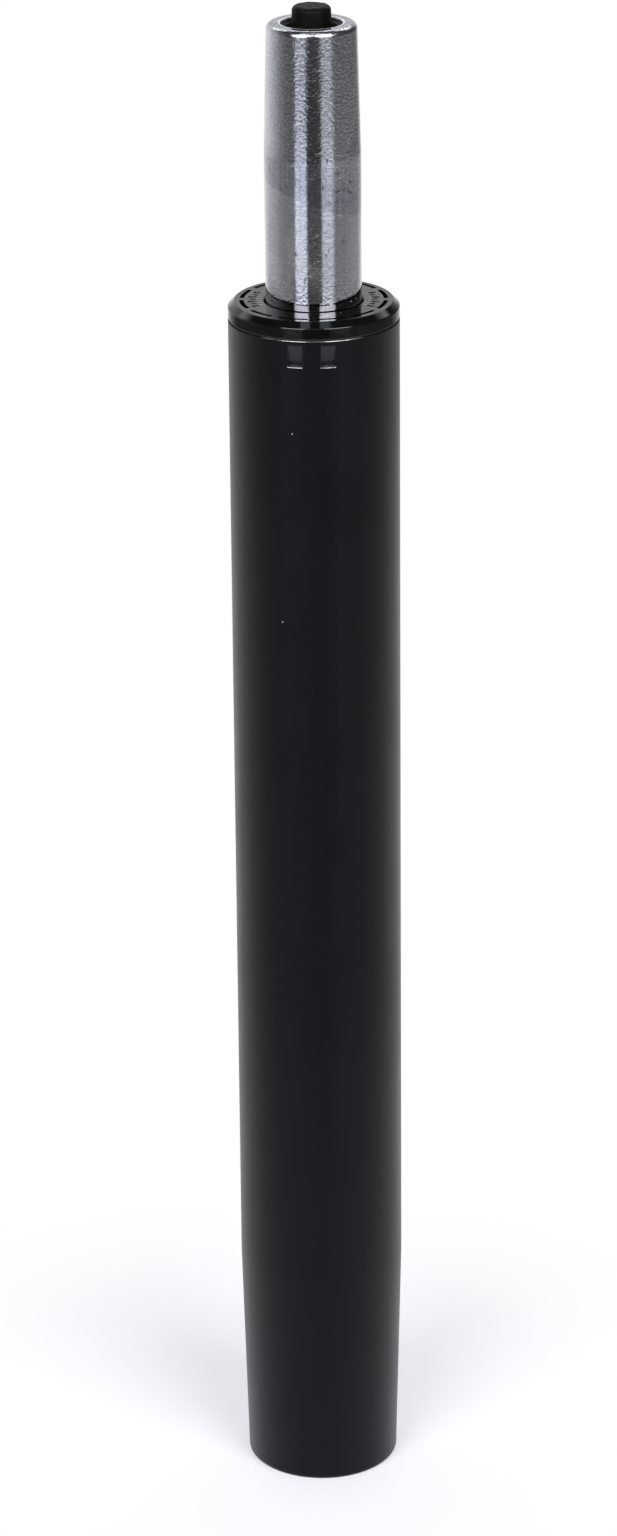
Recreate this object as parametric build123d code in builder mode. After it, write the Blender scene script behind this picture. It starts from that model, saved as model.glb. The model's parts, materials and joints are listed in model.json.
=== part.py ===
from build123d import *

import os
from math import asin, cos, degrees, radians, sin, tan

# Height-adjustable gas lift column of a tall work chair, fully lowered.
# Millimetres, +Z up the axis, origin at the centre of the foot's end face, front towards -Y.
# Every piece is listed from the column inwards, and the stack is built from the foot upwards.

# Column tube
column_diameter = 50.0
column_wall = 2.0
column_length = 372.0
column_cone_length = 70.0
taper_half_angle = 1.4378  # degrees, the self-locking chair taper of 1 deg 26 min 16 s
rim_edge_radius = 0.5
foot_corner_radius = 1.6
foot_inner_radius = 0.6
foot_lip_width = 2.8
foot_lip_edge_radius = 0.5

# Tabs pressed inwards below the rim, in pairs, the first pair at the front
front_azimuth = -90.0
tab_pair_count = 2
tab_width = 4.55
tab_spacing = 9.6
tab_bend_drop = 1.6
tab_length = 5.0
tab_push = 1.5
tab_slot_height = 1.25
tab_play = 0.2

# Guide bush and its collar
collar_wall_height = 3.5
collar_shoulder_height = 1.75
collar_shoulder_width = 1.85
collar_edge_radius = 0.45
bush_length = 95.0
bush_press_gap = 0.05
bush_running_gap = 0.05
bush_bore_wall = 2.4
bush_skin = 1.4
bush_end_chamfer = 0.8
bush_lead_width = 0.7
bush_lead_depth = 0.9
pocket_count = 12
pocket_rib_angle = 6.0
pocket_roof = 5.0

# Arc slots and plain scale strokes on the collar's face
slot_count = 12
slot_circle_radius = 21.0
slot_width = 1.3
slot_bridge_angle = 6.0
slot_depth = 3.0
stroke_count = 7
stroke_pitch = 7.5
stroke_start_radius = 17.0
stroke_long = 2.3
stroke_short = 1.4
stroke_width = 0.5
stroke_height = 0.2

# Dished plate welded into the foot
plate_thickness = 2.5
plate_rise = 6.0
plate_weld_gap = 0.05
plate_rim_width = 4.8
plate_slope_width = 2.5
plate_edge_radius = 0.9

# Thrust bearing on the plate
ball_diameter = 4.0
ball_count = 9
ball_circle_diameter = 18.0
ball_gap = 0.05
race_diameter = 25.0
race_thickness = 2.0
race_groove_depth = 0.6
race_edge = 0.3
cage_thickness = 1.6
cage_edge_play = 0.5
cage_bore_play = 1.6
cage_pocket_play = 0.15

# Piston rod, its shoulder and its foot clip
rod_diameter = 10.0
stub_diameter = 8.0
stub_plate_gap = 0.2
stub_race_gap = 0.3
stub_fit_gap = 0.1
rod_end_length = 2.0
rod_end_chamfer = 0.6
shoulder_washer_diameter = 24.0
shoulder_washer_thickness = 2.0
retaining_washer_diameter = 18.0
retaining_washer_thickness = 1.5
thrust_play = 0.1
clip_diameter = 13.0
clip_thickness = 1.0
clip_groove_depth = 0.8
clip_groove_play = 0.05
clip_mouth_width = 5.8

# Rubber bump stop
bump_diameter = 22.0
bump_length = 20.0
bump_bore_gap = 0.1
bump_edge_radius = 1.5
bump_waist_depth = 1.6
bump_waist_radius = 3.0
bump_play = 0.3

# Pressure tube
tube_diameter = 28.0
tube_wall = 1.5
tube_length = 419.2
tube_cone_length = 37.7
tube_top_opening = 17.8
tube_top_edge_radius = 1.8
tube_top_lip_radius = 0.5
tube_foot_opening = 15.0
tube_foot_edge_radius = 2.0
tube_inner_edge_radius = 0.6
tube_fit_gap = 0.05

# Rod guide stack in the tube's foot
end_washer_thickness = 2.0
rod_guide_length = 12.0
rod_seal_length = 7.0
rod_seal_lip_depth = 2.5
rod_seal_lip_width = 1.6
seal_washer_thickness = 1.5
rod_running_gap = 0.05
washer_rod_gap = 0.3
foot_ring_thickness = 3.0
foot_spigot_length = 5.0
foot_slot_count = 6
foot_slot_width = 2.5
foot_slot_depth = 2.0

# Inner tube that the piston runs in
liner_diameter = 22.0
liner_wall = 1.0

# Piston on the rod's upper end
stroke = 265.0
end_of_stroke_play = 0.3
piston_length = 12.0
piston_running_gap = 0.08
piston_bore_diameter = 7.0
piston_seal_section = 2.4
support_washer_diameter = 17.0
support_washer_thickness = 2.0
top_washer_diameter = 14.0
top_washer_thickness = 1.5
rivet_head_diameter = 9.6
rivet_head_height = 2.0

# Valve stack in the tube's top
valve_body_length = 24.0
valve_recess_diameter = 16.0
valve_recess_depth = 9.0
valve_ring_drop = 14.0
valve_ring_section = 2.2
valve_seat_length = 20.0
valve_seat_collar_length = 4.0
valve_channel_width = 1.0
valve_spigot_length = 8.0
spigot_ring_section = 1.6
stem_cavity_diameter = 11.0
stem_cavity_depth = 12.0
stem_ring_land = 4.0
stem_ring_section = 1.9
stem_ring_play = 0.04
ring_seat_play = 0.1
spacer_hole_diameter = 2.0
spacer_hole_count = 4
spacer_bore_gap = 0.4
valve_sliding_gap = 0.08

# Stem, pin and release button
button_travel = 3.5
button_floor_play = 1.0
button_top_diameter = 11.1
button_base_diameter = 11.5
button_rise = 4.9
button_edge_radius = 1.4
button_roof = 3.4
pin_diameter = 6.0
pin_fit_gap = 0.05
stem_diameter = 5.0
stem_neck_diameter = 3.4
stem_neck_length = 5.0
stem_head_diameter = 9.0
stem_head_length = 3.5
stem_top_length = 9.0
ring_groove_gap = 0.03

# Radii and the taper's slope
column_radius = column_diameter / 2
tube_radius = tube_diameter / 2
rod_radius = rod_diameter / 2
stub_radius = stub_diameter / 2
ball_radius = ball_diameter / 2
ball_circle_radius = ball_circle_diameter / 2
liner_outer_radius = liner_diameter / 2
liner_inner_radius = liner_outer_radius - liner_wall
pin_radius = pin_diameter / 2
stem_radius = stem_diameter / 2
taper_slope = tan(radians(taper_half_angle))

# Levels of the foot, the bearing and the rod's lower end
plate_low = column_wall
plate_centre_low = plate_low + plate_rise
plate_centre_top = plate_centre_low + plate_thickness
lower_race_top = plate_centre_top + race_thickness
ball_level = lower_race_top - race_groove_depth + ball_gap + ball_radius
upper_race_low = ball_level + ball_radius + ball_gap - race_groove_depth
upper_race_top = upper_race_low + race_thickness
rod_shoulder = upper_race_top + shoulder_washer_thickness
retaining_washer_top = plate_centre_low - thrust_play
retaining_washer_low = retaining_washer_top - retaining_washer_thickness
clip_top = retaining_washer_low - clip_groove_play
clip_low = clip_top - clip_thickness
rod_end = clip_low - rod_end_length
bump_top = rod_shoulder + bump_length

# Levels of the pressure tube and of the stack in its foot
tube_foot = bump_top + bump_play
tube_top = tube_foot + tube_length
tube_cone_start = tube_top - tube_cone_length
end_washer_low = tube_foot + tube_wall
rod_guide_low = end_washer_low + end_washer_thickness
rod_seal_low = rod_guide_low + rod_guide_length
seal_washer_low = rod_seal_low + rod_seal_length
foot_ring_low = seal_washer_low + seal_washer_thickness
liner_low = foot_ring_low + foot_ring_thickness
foot_ring_top = liner_low + foot_spigot_length

# Levels of the piston, which meets the foot ring at the end of the stroke
support_washer_low = foot_ring_top + stroke + end_of_stroke_play
piston_low = support_washer_low + support_washer_thickness
piston_top = piston_low + piston_length
rivet_low = piston_top + top_washer_thickness
rivet_top = rivet_low + rivet_head_height

# Levels of the valve, hung from the lip at the tube's top
valve_top = tube_top - tube_wall
valve_recess_floor = valve_top - valve_recess_depth
valve_joint = valve_top - valve_body_length
valve_ring_level = valve_top - valve_ring_drop
liner_top = valve_joint - valve_seat_length
spigot_low = liner_top - valve_spigot_length
stem_cavity_top = spigot_low + stem_cavity_depth
stem_ring_seat = stem_ring_section + ring_seat_play
stem_head_top = stem_cavity_top - thrust_play
stem_head_low = stem_head_top - stem_head_length
lower_ring_floor = stem_cavity_top + stem_ring_land
lower_ring_level = lower_ring_floor + stem_ring_seat / 2
spacer_low = lower_ring_floor + stem_ring_seat
upper_ring_level = valve_joint + stem_ring_seat / 2
stem_neck_low = lower_ring_level + button_travel
stem_neck_top = stem_neck_low + stem_neck_length
stem_top = valve_joint + stem_top_length
pin_step = stem_top - button_travel - button_floor_play
button_low = valve_recess_floor + button_travel + button_floor_play
button_top = tube_top + button_rise
pin_top = button_top - button_roof

# Levels of the column's rim and collar
collar_face = column_length + collar_wall_height + collar_shoulder_height
tab_bend = column_length - tab_bend_drop
tab_end = tab_bend - tab_length
tab_window_low = tab_end - tab_slot_height
bush_low = column_length - bush_length


def column_outer_radius(height):
    return column_radius - max(0.0, column_cone_length - height) * taper_slope


def column_inner_radius(height):
    return column_outer_radius(height) - column_wall


def tube_outer_radius(height):
    return tube_radius - max(0.0, height - tube_cone_start) * taper_slope


def tube_inner_radius(height):
    return tube_outer_radius(height) - tube_wall


def radial_plane(azimuth):
    """Upright plane through the axis, whose first direction points at the azimuth."""
    turn = radians(azimuth)
    return Plane(origin=(0, 0, 0), x_dir=(cos(turn), sin(turn), 0), z_dir=(sin(turn), -cos(turn), 0))


def turned(*corners, arc=360.0, middle=0.0, mode=Mode.ADD):
    """Turn a closed outline round the axis.

    Each corner is (distance from the axis, height) or (distance, height, corner radius).
    An arc under a full turn is centred on the azimuth called middle.
    """
    points = [corner[:2] for corner in corners]
    radii = [corner[2] if len(corner) > 2 else 0 for corner in corners]
    with BuildSketch(radial_plane(middle - arc / 2)) as profile:
        with BuildLine():
            FilletPolyline(*points, radius=radii, close=True)
        make_face()
    revolve(profile.sketch, axis=Axis.Z, revolution_arc=arc, mode=mode)


def turned_ring(inner, outer, low, top, edge=0.0, **choices):
    """Turn a flat ring with the same small rounding on its four edges."""
    turned((inner, low, edge), (outer, low, edge), (outer, top, edge), (inner, top, edge), **choices)


def turned_round(circle_radius, height, section_radius, mode=Mode.ADD):
    """Turn a round section, as of an O-ring or of a ball groove."""
    with BuildSketch(Plane.XZ) as section:
        with Locations((circle_radius, height)):
            Circle(section_radius)
    revolve(section.sketch, axis=Axis.Z, mode=mode)


os.makedirs("parts", exist_ok=True)

# Column tube: straight tube, self-locking cone below, lip turned in at the foot, tabs below the rim
tab_arc = 2 * degrees(asin(tab_width / 2 / column_radius))
tab_offset = degrees(asin(tab_spacing / 2 / column_radius))
tab_azimuths = []
for pair in range(tab_pair_count):
    pair_azimuth = front_azimuth + pair * 360.0 / tab_pair_count
    tab_azimuths.append(pair_azimuth - tab_offset)
    tab_azimuths.append(pair_azimuth + tab_offset)

column_bore_radius = column_radius - column_wall
tab_tip_radius = column_bore_radius - tab_push
lip_opening_radius = column_inner_radius(0) - foot_lip_width

with BuildPart() as column_tube:
    turned(
        (lip_opening_radius, 0, foot_lip_edge_radius),
        (column_outer_radius(0), 0, foot_corner_radius),
        (column_radius, column_cone_length),
        (column_radius, column_length, rim_edge_radius),
        (column_bore_radius, column_length, rim_edge_radius / 2),
        (column_bore_radius, column_cone_length),
        (column_inner_radius(column_wall), column_wall, foot_inner_radius),
        (lip_opening_radius, column_wall, foot_lip_edge_radius),
    )
    for azimuth in tab_azimuths:
        turned_ring(
            tab_tip_radius,
            column_radius + column_wall,
            tab_window_low,
            tab_bend,
            arc=tab_arc,
            middle=azimuth,
            mode=Mode.SUBTRACT,
        )
        turned(
            (column_bore_radius, tab_bend),
            (tab_tip_radius, tab_end),
            (tab_tip_radius + column_wall, tab_end),
            (column_radius, tab_bend),
            arc=tab_arc,
            middle=azimuth,
        )
column_tube.part.label = "column_tube"
export_step(column_tube.part, "parts/column_tube.step")

# Guide bush: collar on the rim, neck behind the tabs, ribbed sleeve below
bush_bore_radius = tube_radius + bush_running_gap
bush_outer_radius = column_bore_radius - bush_press_gap
bush_neck_radius = tab_tip_radius - tab_play
bush_neck_low = tab_end - tab_play
pocket_inner_radius = bush_bore_radius + bush_bore_wall
pocket_outer_radius = bush_neck_radius - bush_skin
stroke_top = collar_face + stroke_height

with BuildPart() as guide_bush:
    turned(
        (bush_bore_radius, collar_face - bush_lead_depth),
        (bush_bore_radius + bush_lead_width, collar_face, collar_edge_radius / 2),
        (column_radius - collar_shoulder_width, collar_face, collar_edge_radius),
        (column_radius, column_length + collar_wall_height, collar_edge_radius),
        (column_radius, column_length, collar_edge_radius / 2),
        (bush_neck_radius, column_length),
        (bush_neck_radius, bush_neck_low),
        (bush_outer_radius, bush_neck_low, collar_edge_radius / 2),
        (bush_outer_radius, bush_low + bush_end_chamfer),
        (bush_outer_radius - bush_end_chamfer, bush_low),
        (bush_bore_radius + bush_end_chamfer, bush_low),
        (bush_bore_radius, bush_low + bush_end_chamfer),
    )
    for number in range(pocket_count):
        turned_ring(
            pocket_inner_radius,
            pocket_outer_radius,
            bush_low - column_wall,
            bush_neck_low - pocket_roof,
            arc=360.0 / pocket_count - pocket_rib_angle,
            middle=(number + 1 / 2) * 360.0 / pocket_count,
            mode=Mode.SUBTRACT,
        )
    for number in range(slot_count):
        turned_ring(
            slot_circle_radius - slot_width / 2,
            slot_circle_radius + slot_width / 2,
            collar_face - slot_depth,
            collar_face + slot_depth,
            arc=360.0 / slot_count - slot_bridge_angle,
            middle=(number + 1 / 2) * 360.0 / slot_count,
            mode=Mode.SUBTRACT,
        )
    for side_azimuth in (front_azimuth + 90.0, front_azimuth - 90.0):
        for number in range(stroke_count):
            reach = stroke_long if number % 2 == 0 else stroke_short
            azimuth = side_azimuth + (number - (stroke_count - 1) / 2) * stroke_pitch
            with BuildSketch(Plane.XY.offset(collar_face - stroke_height).rotated((0, 0, azimuth))):
                with Locations((stroke_start_radius + reach / 2, 0)):
                    Rectangle(reach, stroke_width)
            extrude(amount=2 * stroke_height)
guide_bush.part.label = "guide_bush"
export_step(guide_bush.part, "parts/guide_bush.step")

# Dished foot plate, seated on the lip and welded round its rim
plate_rim_radius = column_inner_radius(plate_low) - plate_weld_gap
plate_dish_radius = plate_rim_radius - plate_rim_width
plate_crown_radius = plate_dish_radius - plate_slope_width
plate_slope_angle = 90.0 - degrees(asin(plate_slope_width / (plate_slope_width**2 + plate_rise**2) ** 0.5))
plate_bend_shift = plate_thickness * tan(radians(plate_slope_angle / 2))
plate_hole_radius = stub_radius + stub_plate_gap

with BuildPart() as foot_plate:
    turned(
        (plate_hole_radius, plate_centre_low),
        (plate_crown_radius, plate_centre_low, plate_edge_radius),
        (plate_dish_radius, plate_low, plate_edge_radius),
        (plate_rim_radius, plate_low, plate_edge_radius),
        (plate_rim_radius, plate_low + plate_thickness),
        (plate_dish_radius + plate_bend_shift, plate_low + plate_thickness, plate_edge_radius),
        (plate_crown_radius + plate_bend_shift, plate_centre_top, plate_edge_radius),
        (plate_hole_radius, plate_centre_top),
    )
foot_plate.part.label = "foot_plate"
export_step(foot_plate.part, "parts/foot_plate.step")

# Thrust bearing: lower race on the plate, caged balls, upper race under the rod's shoulder
race_radius = race_diameter / 2
groove_radius = ball_radius + ball_gap

with BuildPart() as lower_bearing_race:
    turned_ring(stub_radius + stub_race_gap, race_radius, plate_centre_top, lower_race_top, race_edge)
    turned_round(ball_circle_radius, ball_level, groove_radius, mode=Mode.SUBTRACT)
lower_bearing_race.part.label = "lower_bearing_race"
export_step(lower_bearing_race.part, "parts/lower_bearing_race.step")

with BuildPart() as ball_cage:
    with BuildSketch(Plane.XY.offset(ball_level - cage_thickness / 2)):
        Circle(race_radius - cage_edge_play)
        Circle(stub_radius + cage_bore_play, mode=Mode.SUBTRACT)
        with PolarLocations(ball_circle_radius, ball_count):
            Circle(ball_radius + cage_pocket_play, mode=Mode.SUBTRACT)
    extrude(amount=cage_thickness)
ball_cage.part.label = "ball_cage"
export_step(ball_cage.part, "parts/ball_cage.step")

with BuildPart() as bearing_balls:
    with Locations((0, 0, ball_level)):
        with PolarLocations(ball_circle_radius, ball_count):
            Sphere(ball_radius)
bearing_balls.part.label = "bearing_balls"
export_step(bearing_balls.part, "parts/bearing_balls.step")

with BuildPart() as upper_bearing_race:
    turned_ring(stub_radius + stub_fit_gap, race_radius, upper_race_low, upper_race_top, race_edge)
    turned_round(ball_circle_radius, ball_level, groove_radius, mode=Mode.SUBTRACT)
upper_bearing_race.part.label = "upper_bearing_race"
export_step(upper_bearing_race.part, "parts/upper_bearing_race.step")

# Shoulder washer between the rod's shoulder and the upper race
with BuildPart() as shoulder_washer:
    turned_ring(
        stub_radius + stub_fit_gap, shoulder_washer_diameter / 2, upper_race_top, rod_shoulder, race_edge
    )
shoulder_washer.part.label = "shoulder_washer"
export_step(shoulder_washer.part, "parts/shoulder_washer.step")

# Piston rod: stub with clip groove below, ground shaft, spigot and riveted head above
clip_groove_radius = stub_radius - clip_groove_depth
spigot_radius = piston_bore_diameter / 2

with BuildPart() as piston_rod:
    turned(
        (0, rod_end),
        (stub_radius - rod_end_chamfer, rod_end),
        (stub_radius, rod_end + rod_end_chamfer),
        (stub_radius, clip_low - clip_groove_play),
        (clip_groove_radius, clip_low - clip_groove_play),
        (clip_groove_radius, clip_top + clip_groove_play),
        (stub_radius, clip_top + clip_groove_play),
        (stub_radius, rod_shoulder),
        (rod_radius, rod_shoulder),
        (rod_radius, support_washer_low),
        (spigot_radius, support_washer_low),
        (spigot_radius, rivet_low),
        (rivet_head_diameter / 2, rivet_low),
        (rivet_head_diameter / 2, rivet_top, rivet_head_height / 2),
        (0, rivet_top),
    )
piston_rod.part.label = "piston_rod"
export_step(piston_rod.part, "parts/piston_rod.step")

# Retaining washer and open clip below the foot plate
with BuildPart() as retaining_washer:
    turned_ring(
        stub_radius + stub_fit_gap,
        retaining_washer_diameter / 2,
        retaining_washer_low,
        retaining_washer_top,
        race_edge,
    )
retaining_washer.part.label = "retaining_washer"
export_step(retaining_washer.part, "parts/retaining_washer.step")

clip_radius = clip_diameter / 2
with BuildPart() as retaining_clip:
    with BuildSketch(Plane.XY.offset(clip_low)):
        Circle(clip_radius)
        Circle(clip_groove_radius + clip_groove_play, mode=Mode.SUBTRACT)
        with Locations((0, -clip_radius)):
            Rectangle(clip_mouth_width, 2 * clip_radius, mode=Mode.SUBTRACT)
    extrude(amount=clip_thickness)
    fillet(retaining_clip.edges().filter_by(Axis.Z).group_by(Axis.Y)[0], clip_thickness / 2)
retaining_clip.part.label = "retaining_clip"
export_step(retaining_clip.part, "parts/retaining_clip.step")

# Rubber bump stop that the pressure tube lands on
bump_radius = bump_diameter / 2
bump_bore_radius = rod_radius + bump_bore_gap
with BuildPart() as bump_stop:
    turned(
        (bump_bore_radius, rod_shoulder),
        (bump_radius, rod_shoulder, bump_edge_radius),
        (bump_radius, bump_top, bump_edge_radius),
        (bump_bore_radius, bump_top, bump_edge_radius / 2),
    )
    turned_round(
        bump_radius + bump_waist_radius - bump_waist_depth,
        rod_shoulder + bump_length / 2,
        bump_waist_radius,
        mode=Mode.SUBTRACT,
    )
bump_stop.part.label = "bump_stop"
export_step(bump_stop.part, "parts/bump_stop.step")

# Pressure tube: lip turned in at the foot, self-locking cone and turned-in lip at the top
with BuildPart() as pressure_tube:
    turned(
        (tube_foot_opening / 2, tube_foot),
        (tube_radius, tube_foot, tube_foot_edge_radius),
        (tube_radius, tube_cone_start),
        (tube_outer_radius(tube_top), tube_top, tube_top_edge_radius),
        (tube_top_opening / 2, tube_top, tube_top_lip_radius),
        (tube_top_opening / 2, valve_top),
        (tube_inner_radius(valve_top), valve_top, tube_inner_edge_radius),
        (tube_radius - tube_wall, tube_cone_start),
        (tube_radius - tube_wall, end_washer_low, tube_inner_edge_radius),
        (tube_foot_opening / 2, end_washer_low),
    )
pressure_tube.part.label = "pressure_tube"
export_step(pressure_tube.part, "parts/pressure_tube.step")

# Rod guide stack, from the lip upwards
stack_radius = tube_radius - tube_wall - tube_fit_gap
stack_edge = tube_inner_edge_radius + tube_fit_gap
guide_bore_radius = rod_radius + rod_running_gap
washer_bore_radius = rod_radius + washer_rod_gap

with BuildPart() as end_washer:
    turned(
        (washer_bore_radius, end_washer_low),
        (stack_radius, end_washer_low, stack_edge),
        (stack_radius, rod_guide_low),
        (washer_bore_radius, rod_guide_low),
    )
end_washer.part.label = "end_washer"
export_step(end_washer.part, "parts/end_washer.step")

with BuildPart() as rod_guide:
    turned_ring(guide_bore_radius, stack_radius, rod_guide_low, rod_seal_low, race_edge)
rod_guide.part.label = "rod_guide"
export_step(rod_guide.part, "parts/rod_guide.step")

with BuildPart() as rod_seal:
    turned_ring(guide_bore_radius, stack_radius, rod_seal_low, seal_washer_low)
    turned_ring(
        guide_bore_radius + rod_seal_lip_width,
        stack_radius - rod_seal_lip_width,
        seal_washer_low - rod_seal_lip_depth,
        seal_washer_low + rod_seal_lip_depth,
        mode=Mode.SUBTRACT,
    )
rod_seal.part.label = "rod_seal"
export_step(rod_seal.part, "parts/rod_seal.step")

with BuildPart() as seal_washer:
    turned_ring(washer_bore_radius, stack_radius, seal_washer_low, foot_ring_low, race_edge)
seal_washer.part.label = "seal_washer"
export_step(seal_washer.part, "parts/seal_washer.step")

# Foot ring: centres the liner, with radial slots that join the ring channel to the lower chamber
foot_spigot_radius = liner_inner_radius - tube_fit_gap
with BuildPart() as liner_foot_ring:
    turned_ring(washer_bore_radius, stack_radius, foot_ring_low, liner_low)
    turned_ring(washer_bore_radius, foot_spigot_radius, foot_ring_low, foot_ring_top)
    for number in range(foot_slot_count):
        slot_azimuth = number * 360.0 / foot_slot_count
        slot_floor = Plane.XY.offset(liner_low - foot_slot_depth).rotated((0, 0, slot_azimuth))
        with BuildSketch(slot_floor):
            with Locations((stack_radius, 0)):
                Rectangle(2 * stack_radius, foot_slot_width)
        extrude(amount=foot_slot_depth + foot_spigot_length, mode=Mode.SUBTRACT)
liner_foot_ring.part.label = "liner_foot_ring"
export_step(liner_foot_ring.part, "parts/liner_foot_ring.step")

# Liner: inner tube between the foot ring and the valve seat
with BuildPart() as liner_tube:
    turned_ring(liner_inner_radius, liner_outer_radius, liner_low, liner_top)
liner_tube.part.label = "liner_tube"
export_step(liner_tube.part, "parts/liner_tube.step")

# Piston with its support washer, seal and top washer on the rod's spigot
piston_radius = liner_inner_radius - piston_running_gap
spigot_bore_radius = spigot_radius + stub_fit_gap
piston_seal_radius = piston_seal_section / 2
piston_seal_circle = piston_radius - piston_seal_radius
piston_middle = (piston_low + piston_top) / 2

with BuildPart() as piston_support_washer:
    turned_ring(
        spigot_bore_radius, support_washer_diameter / 2, support_washer_low, piston_low, race_edge
    )
piston_support_washer.part.label = "piston_support_washer"
export_step(piston_support_washer.part, "parts/piston_support_washer.step")

with BuildPart() as piston:
    turned_ring(spigot_bore_radius, piston_radius, piston_low, piston_top, race_edge)
    turned_ring(
        piston_seal_circle - piston_seal_radius - ring_groove_gap,
        piston_radius + piston_seal_section,
        piston_middle - piston_seal_radius - ring_seat_play,
        piston_middle + piston_seal_radius + ring_seat_play,
        mode=Mode.SUBTRACT,
    )
piston.part.label = "piston"
export_step(piston.part, "parts/piston.step")

with BuildPart() as piston_seal:
    turned_round(piston_seal_circle, piston_middle, piston_seal_radius)
piston_seal.part.label = "piston_seal"
export_step(piston_seal.part, "parts/piston_seal.step")

with BuildPart() as piston_top_washer:
    turned_ring(spigot_bore_radius, top_washer_diameter / 2, piston_top, rivet_low, race_edge)
piston_top_washer.part.label = "piston_top_washer"
export_step(piston_top_washer.part, "parts/piston_top_washer.step")

# Valve body: tapers with the tube, open recess for the button, bores for pin and stem
stem_bore_radius = stem_radius + valve_sliding_gap
pin_bore_radius = pin_radius + valve_sliding_gap
stem_ring_radius = stem_ring_section / 2
stem_ring_circle = stem_radius + stem_ring_play + stem_ring_radius
stem_seat_radius = stem_ring_circle + stem_ring_radius + ring_groove_gap
valve_ring_radius = valve_ring_section / 2
valve_ring_bore = tube_inner_radius(valve_ring_level + valve_ring_radius) - tube_fit_gap
valve_ring_circle = valve_ring_bore - valve_ring_radius

with BuildPart() as valve_body:
    turned(
        (pin_bore_radius, valve_recess_floor),
        (valve_recess_diameter / 2, valve_recess_floor, race_edge),
        (valve_recess_diameter / 2, valve_top),
        (tube_inner_radius(valve_top) - tube_fit_gap, valve_top, stack_edge),
        (tube_inner_radius(valve_joint) - tube_fit_gap, valve_joint),
        (stem_seat_radius, valve_joint),
        (stem_seat_radius, valve_joint + stem_ring_seat),
        (stem_bore_radius, valve_joint + stem_ring_seat),
        (stem_bore_radius, pin_step),
        (pin_bore_radius, pin_step),
    )
    turned_ring(
        valve_ring_circle - valve_ring_radius - ring_groove_gap,
        tube_radius,
        valve_ring_level - valve_ring_radius - ring_seat_play,
        valve_ring_level + valve_ring_radius + ring_seat_play,
        mode=Mode.SUBTRACT,
    )
valve_body.part.label = "valve_body"
export_step(valve_body.part, "parts/valve_body.step")

with BuildPart() as valve_body_o_ring:
    turned_round(valve_ring_circle, valve_ring_level, valve_ring_radius)
valve_body_o_ring.part.label = "valve_body_o_ring"
export_step(valve_body_o_ring.part, "parts/valve_body_o_ring.step")

# Valve seat: collar under the body, side holes to the ring channel, spigot in the liner
seat_channel_radius = liner_outer_radius - valve_channel_width / 2
seat_collar_low = valve_joint - valve_seat_collar_length
spigot_outer_radius = liner_inner_radius - tube_fit_gap
spigot_ring_radius = spigot_ring_section / 2
spigot_ring_circle = spigot_outer_radius - spigot_ring_radius
spigot_ring_level = (spigot_low + liner_top) / 2
spacer_hole_level = (spacer_low + seat_collar_low) / 2

with BuildPart() as valve_seat:
    turned(
        (stem_cavity_diameter / 2, spigot_low),
        (spigot_outer_radius, spigot_low, race_edge),
        (spigot_outer_radius, liner_top),
        (liner_outer_radius, liner_top),
        (liner_outer_radius, seat_collar_low),
        (tube_inner_radius(seat_collar_low) - tube_fit_gap, seat_collar_low),
        (tube_inner_radius(valve_joint) - tube_fit_gap, valve_joint),
        (stem_seat_radius, valve_joint),
        (stem_seat_radius, lower_ring_floor),
        (stem_bore_radius, lower_ring_floor),
        (stem_bore_radius, stem_cavity_top),
        (stem_cavity_diameter / 2, stem_cavity_top),
    )
    turned_ring(
        spigot_ring_circle - spigot_ring_radius - ring_groove_gap,
        liner_outer_radius,
        spigot_ring_level - spigot_ring_radius - ring_seat_play,
        spigot_ring_level + spigot_ring_radius + ring_seat_play,
        mode=Mode.SUBTRACT,
    )
    for number in range(spacer_hole_count):
        azimuth = number * 360.0 / spacer_hole_count
        with BuildSketch(radial_plane(azimuth)):
            with Locations((0, spacer_hole_level)):
                Circle(spacer_hole_diameter / 2)
        extrude(amount=tube_radius, mode=Mode.SUBTRACT)
valve_seat.part.label = "valve_seat"
export_step(valve_seat.part, "parts/valve_seat.step")

with BuildPart() as valve_seat_o_ring:
    turned_round(spigot_ring_circle, spigot_ring_level, spigot_ring_radius)
valve_seat_o_ring.part.label = "valve_seat_o_ring"
export_step(valve_seat_o_ring.part, "parts/valve_seat_o_ring.step")

# Spacer and two O-rings round the stem
with BuildPart() as stem_spacer:
    turned_ring(stem_radius + spacer_bore_gap, stem_seat_radius - ring_groove_gap, spacer_low, valve_joint)
    for number in range(spacer_hole_count):
        azimuth = number * 360.0 / spacer_hole_count
        with BuildSketch(radial_plane(azimuth)):
            with Locations((0, spacer_hole_level)):
                Circle(spacer_hole_diameter / 2)
        extrude(amount=tube_radius, mode=Mode.SUBTRACT)
stem_spacer.part.label = "stem_spacer"
export_step(stem_spacer.part, "parts/stem_spacer.step")

with BuildPart() as stem_o_rings:
    for level in (lower_ring_level, upper_ring_level):
        turned_round(stem_ring_circle, level, stem_ring_radius)
stem_o_rings.part.label = "stem_o_rings"
export_step(stem_o_rings.part, "parts/stem_o_rings.step")

# Valve stem: head in the cavity, waist above the lower ring, shank through the upper ring
with BuildPart() as valve_stem:
    turned(
        (0, stem_head_low),
        (stem_head_diameter / 2, stem_head_low, race_edge),
        (stem_head_diameter / 2, stem_head_top, race_edge),
        (stem_radius, stem_head_top),
        (stem_radius, stem_neck_low),
        (stem_neck_diameter / 2, stem_neck_low + (stem_diameter - stem_neck_diameter) / 2),
        (stem_neck_diameter / 2, stem_neck_top - (stem_diameter - stem_neck_diameter) / 2),
        (stem_radius, stem_neck_top),
        (stem_radius, stem_top),
        (0, stem_top),
    )
valve_stem.part.label = "valve_stem"
export_step(valve_stem.part, "parts/valve_stem.step")

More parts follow.
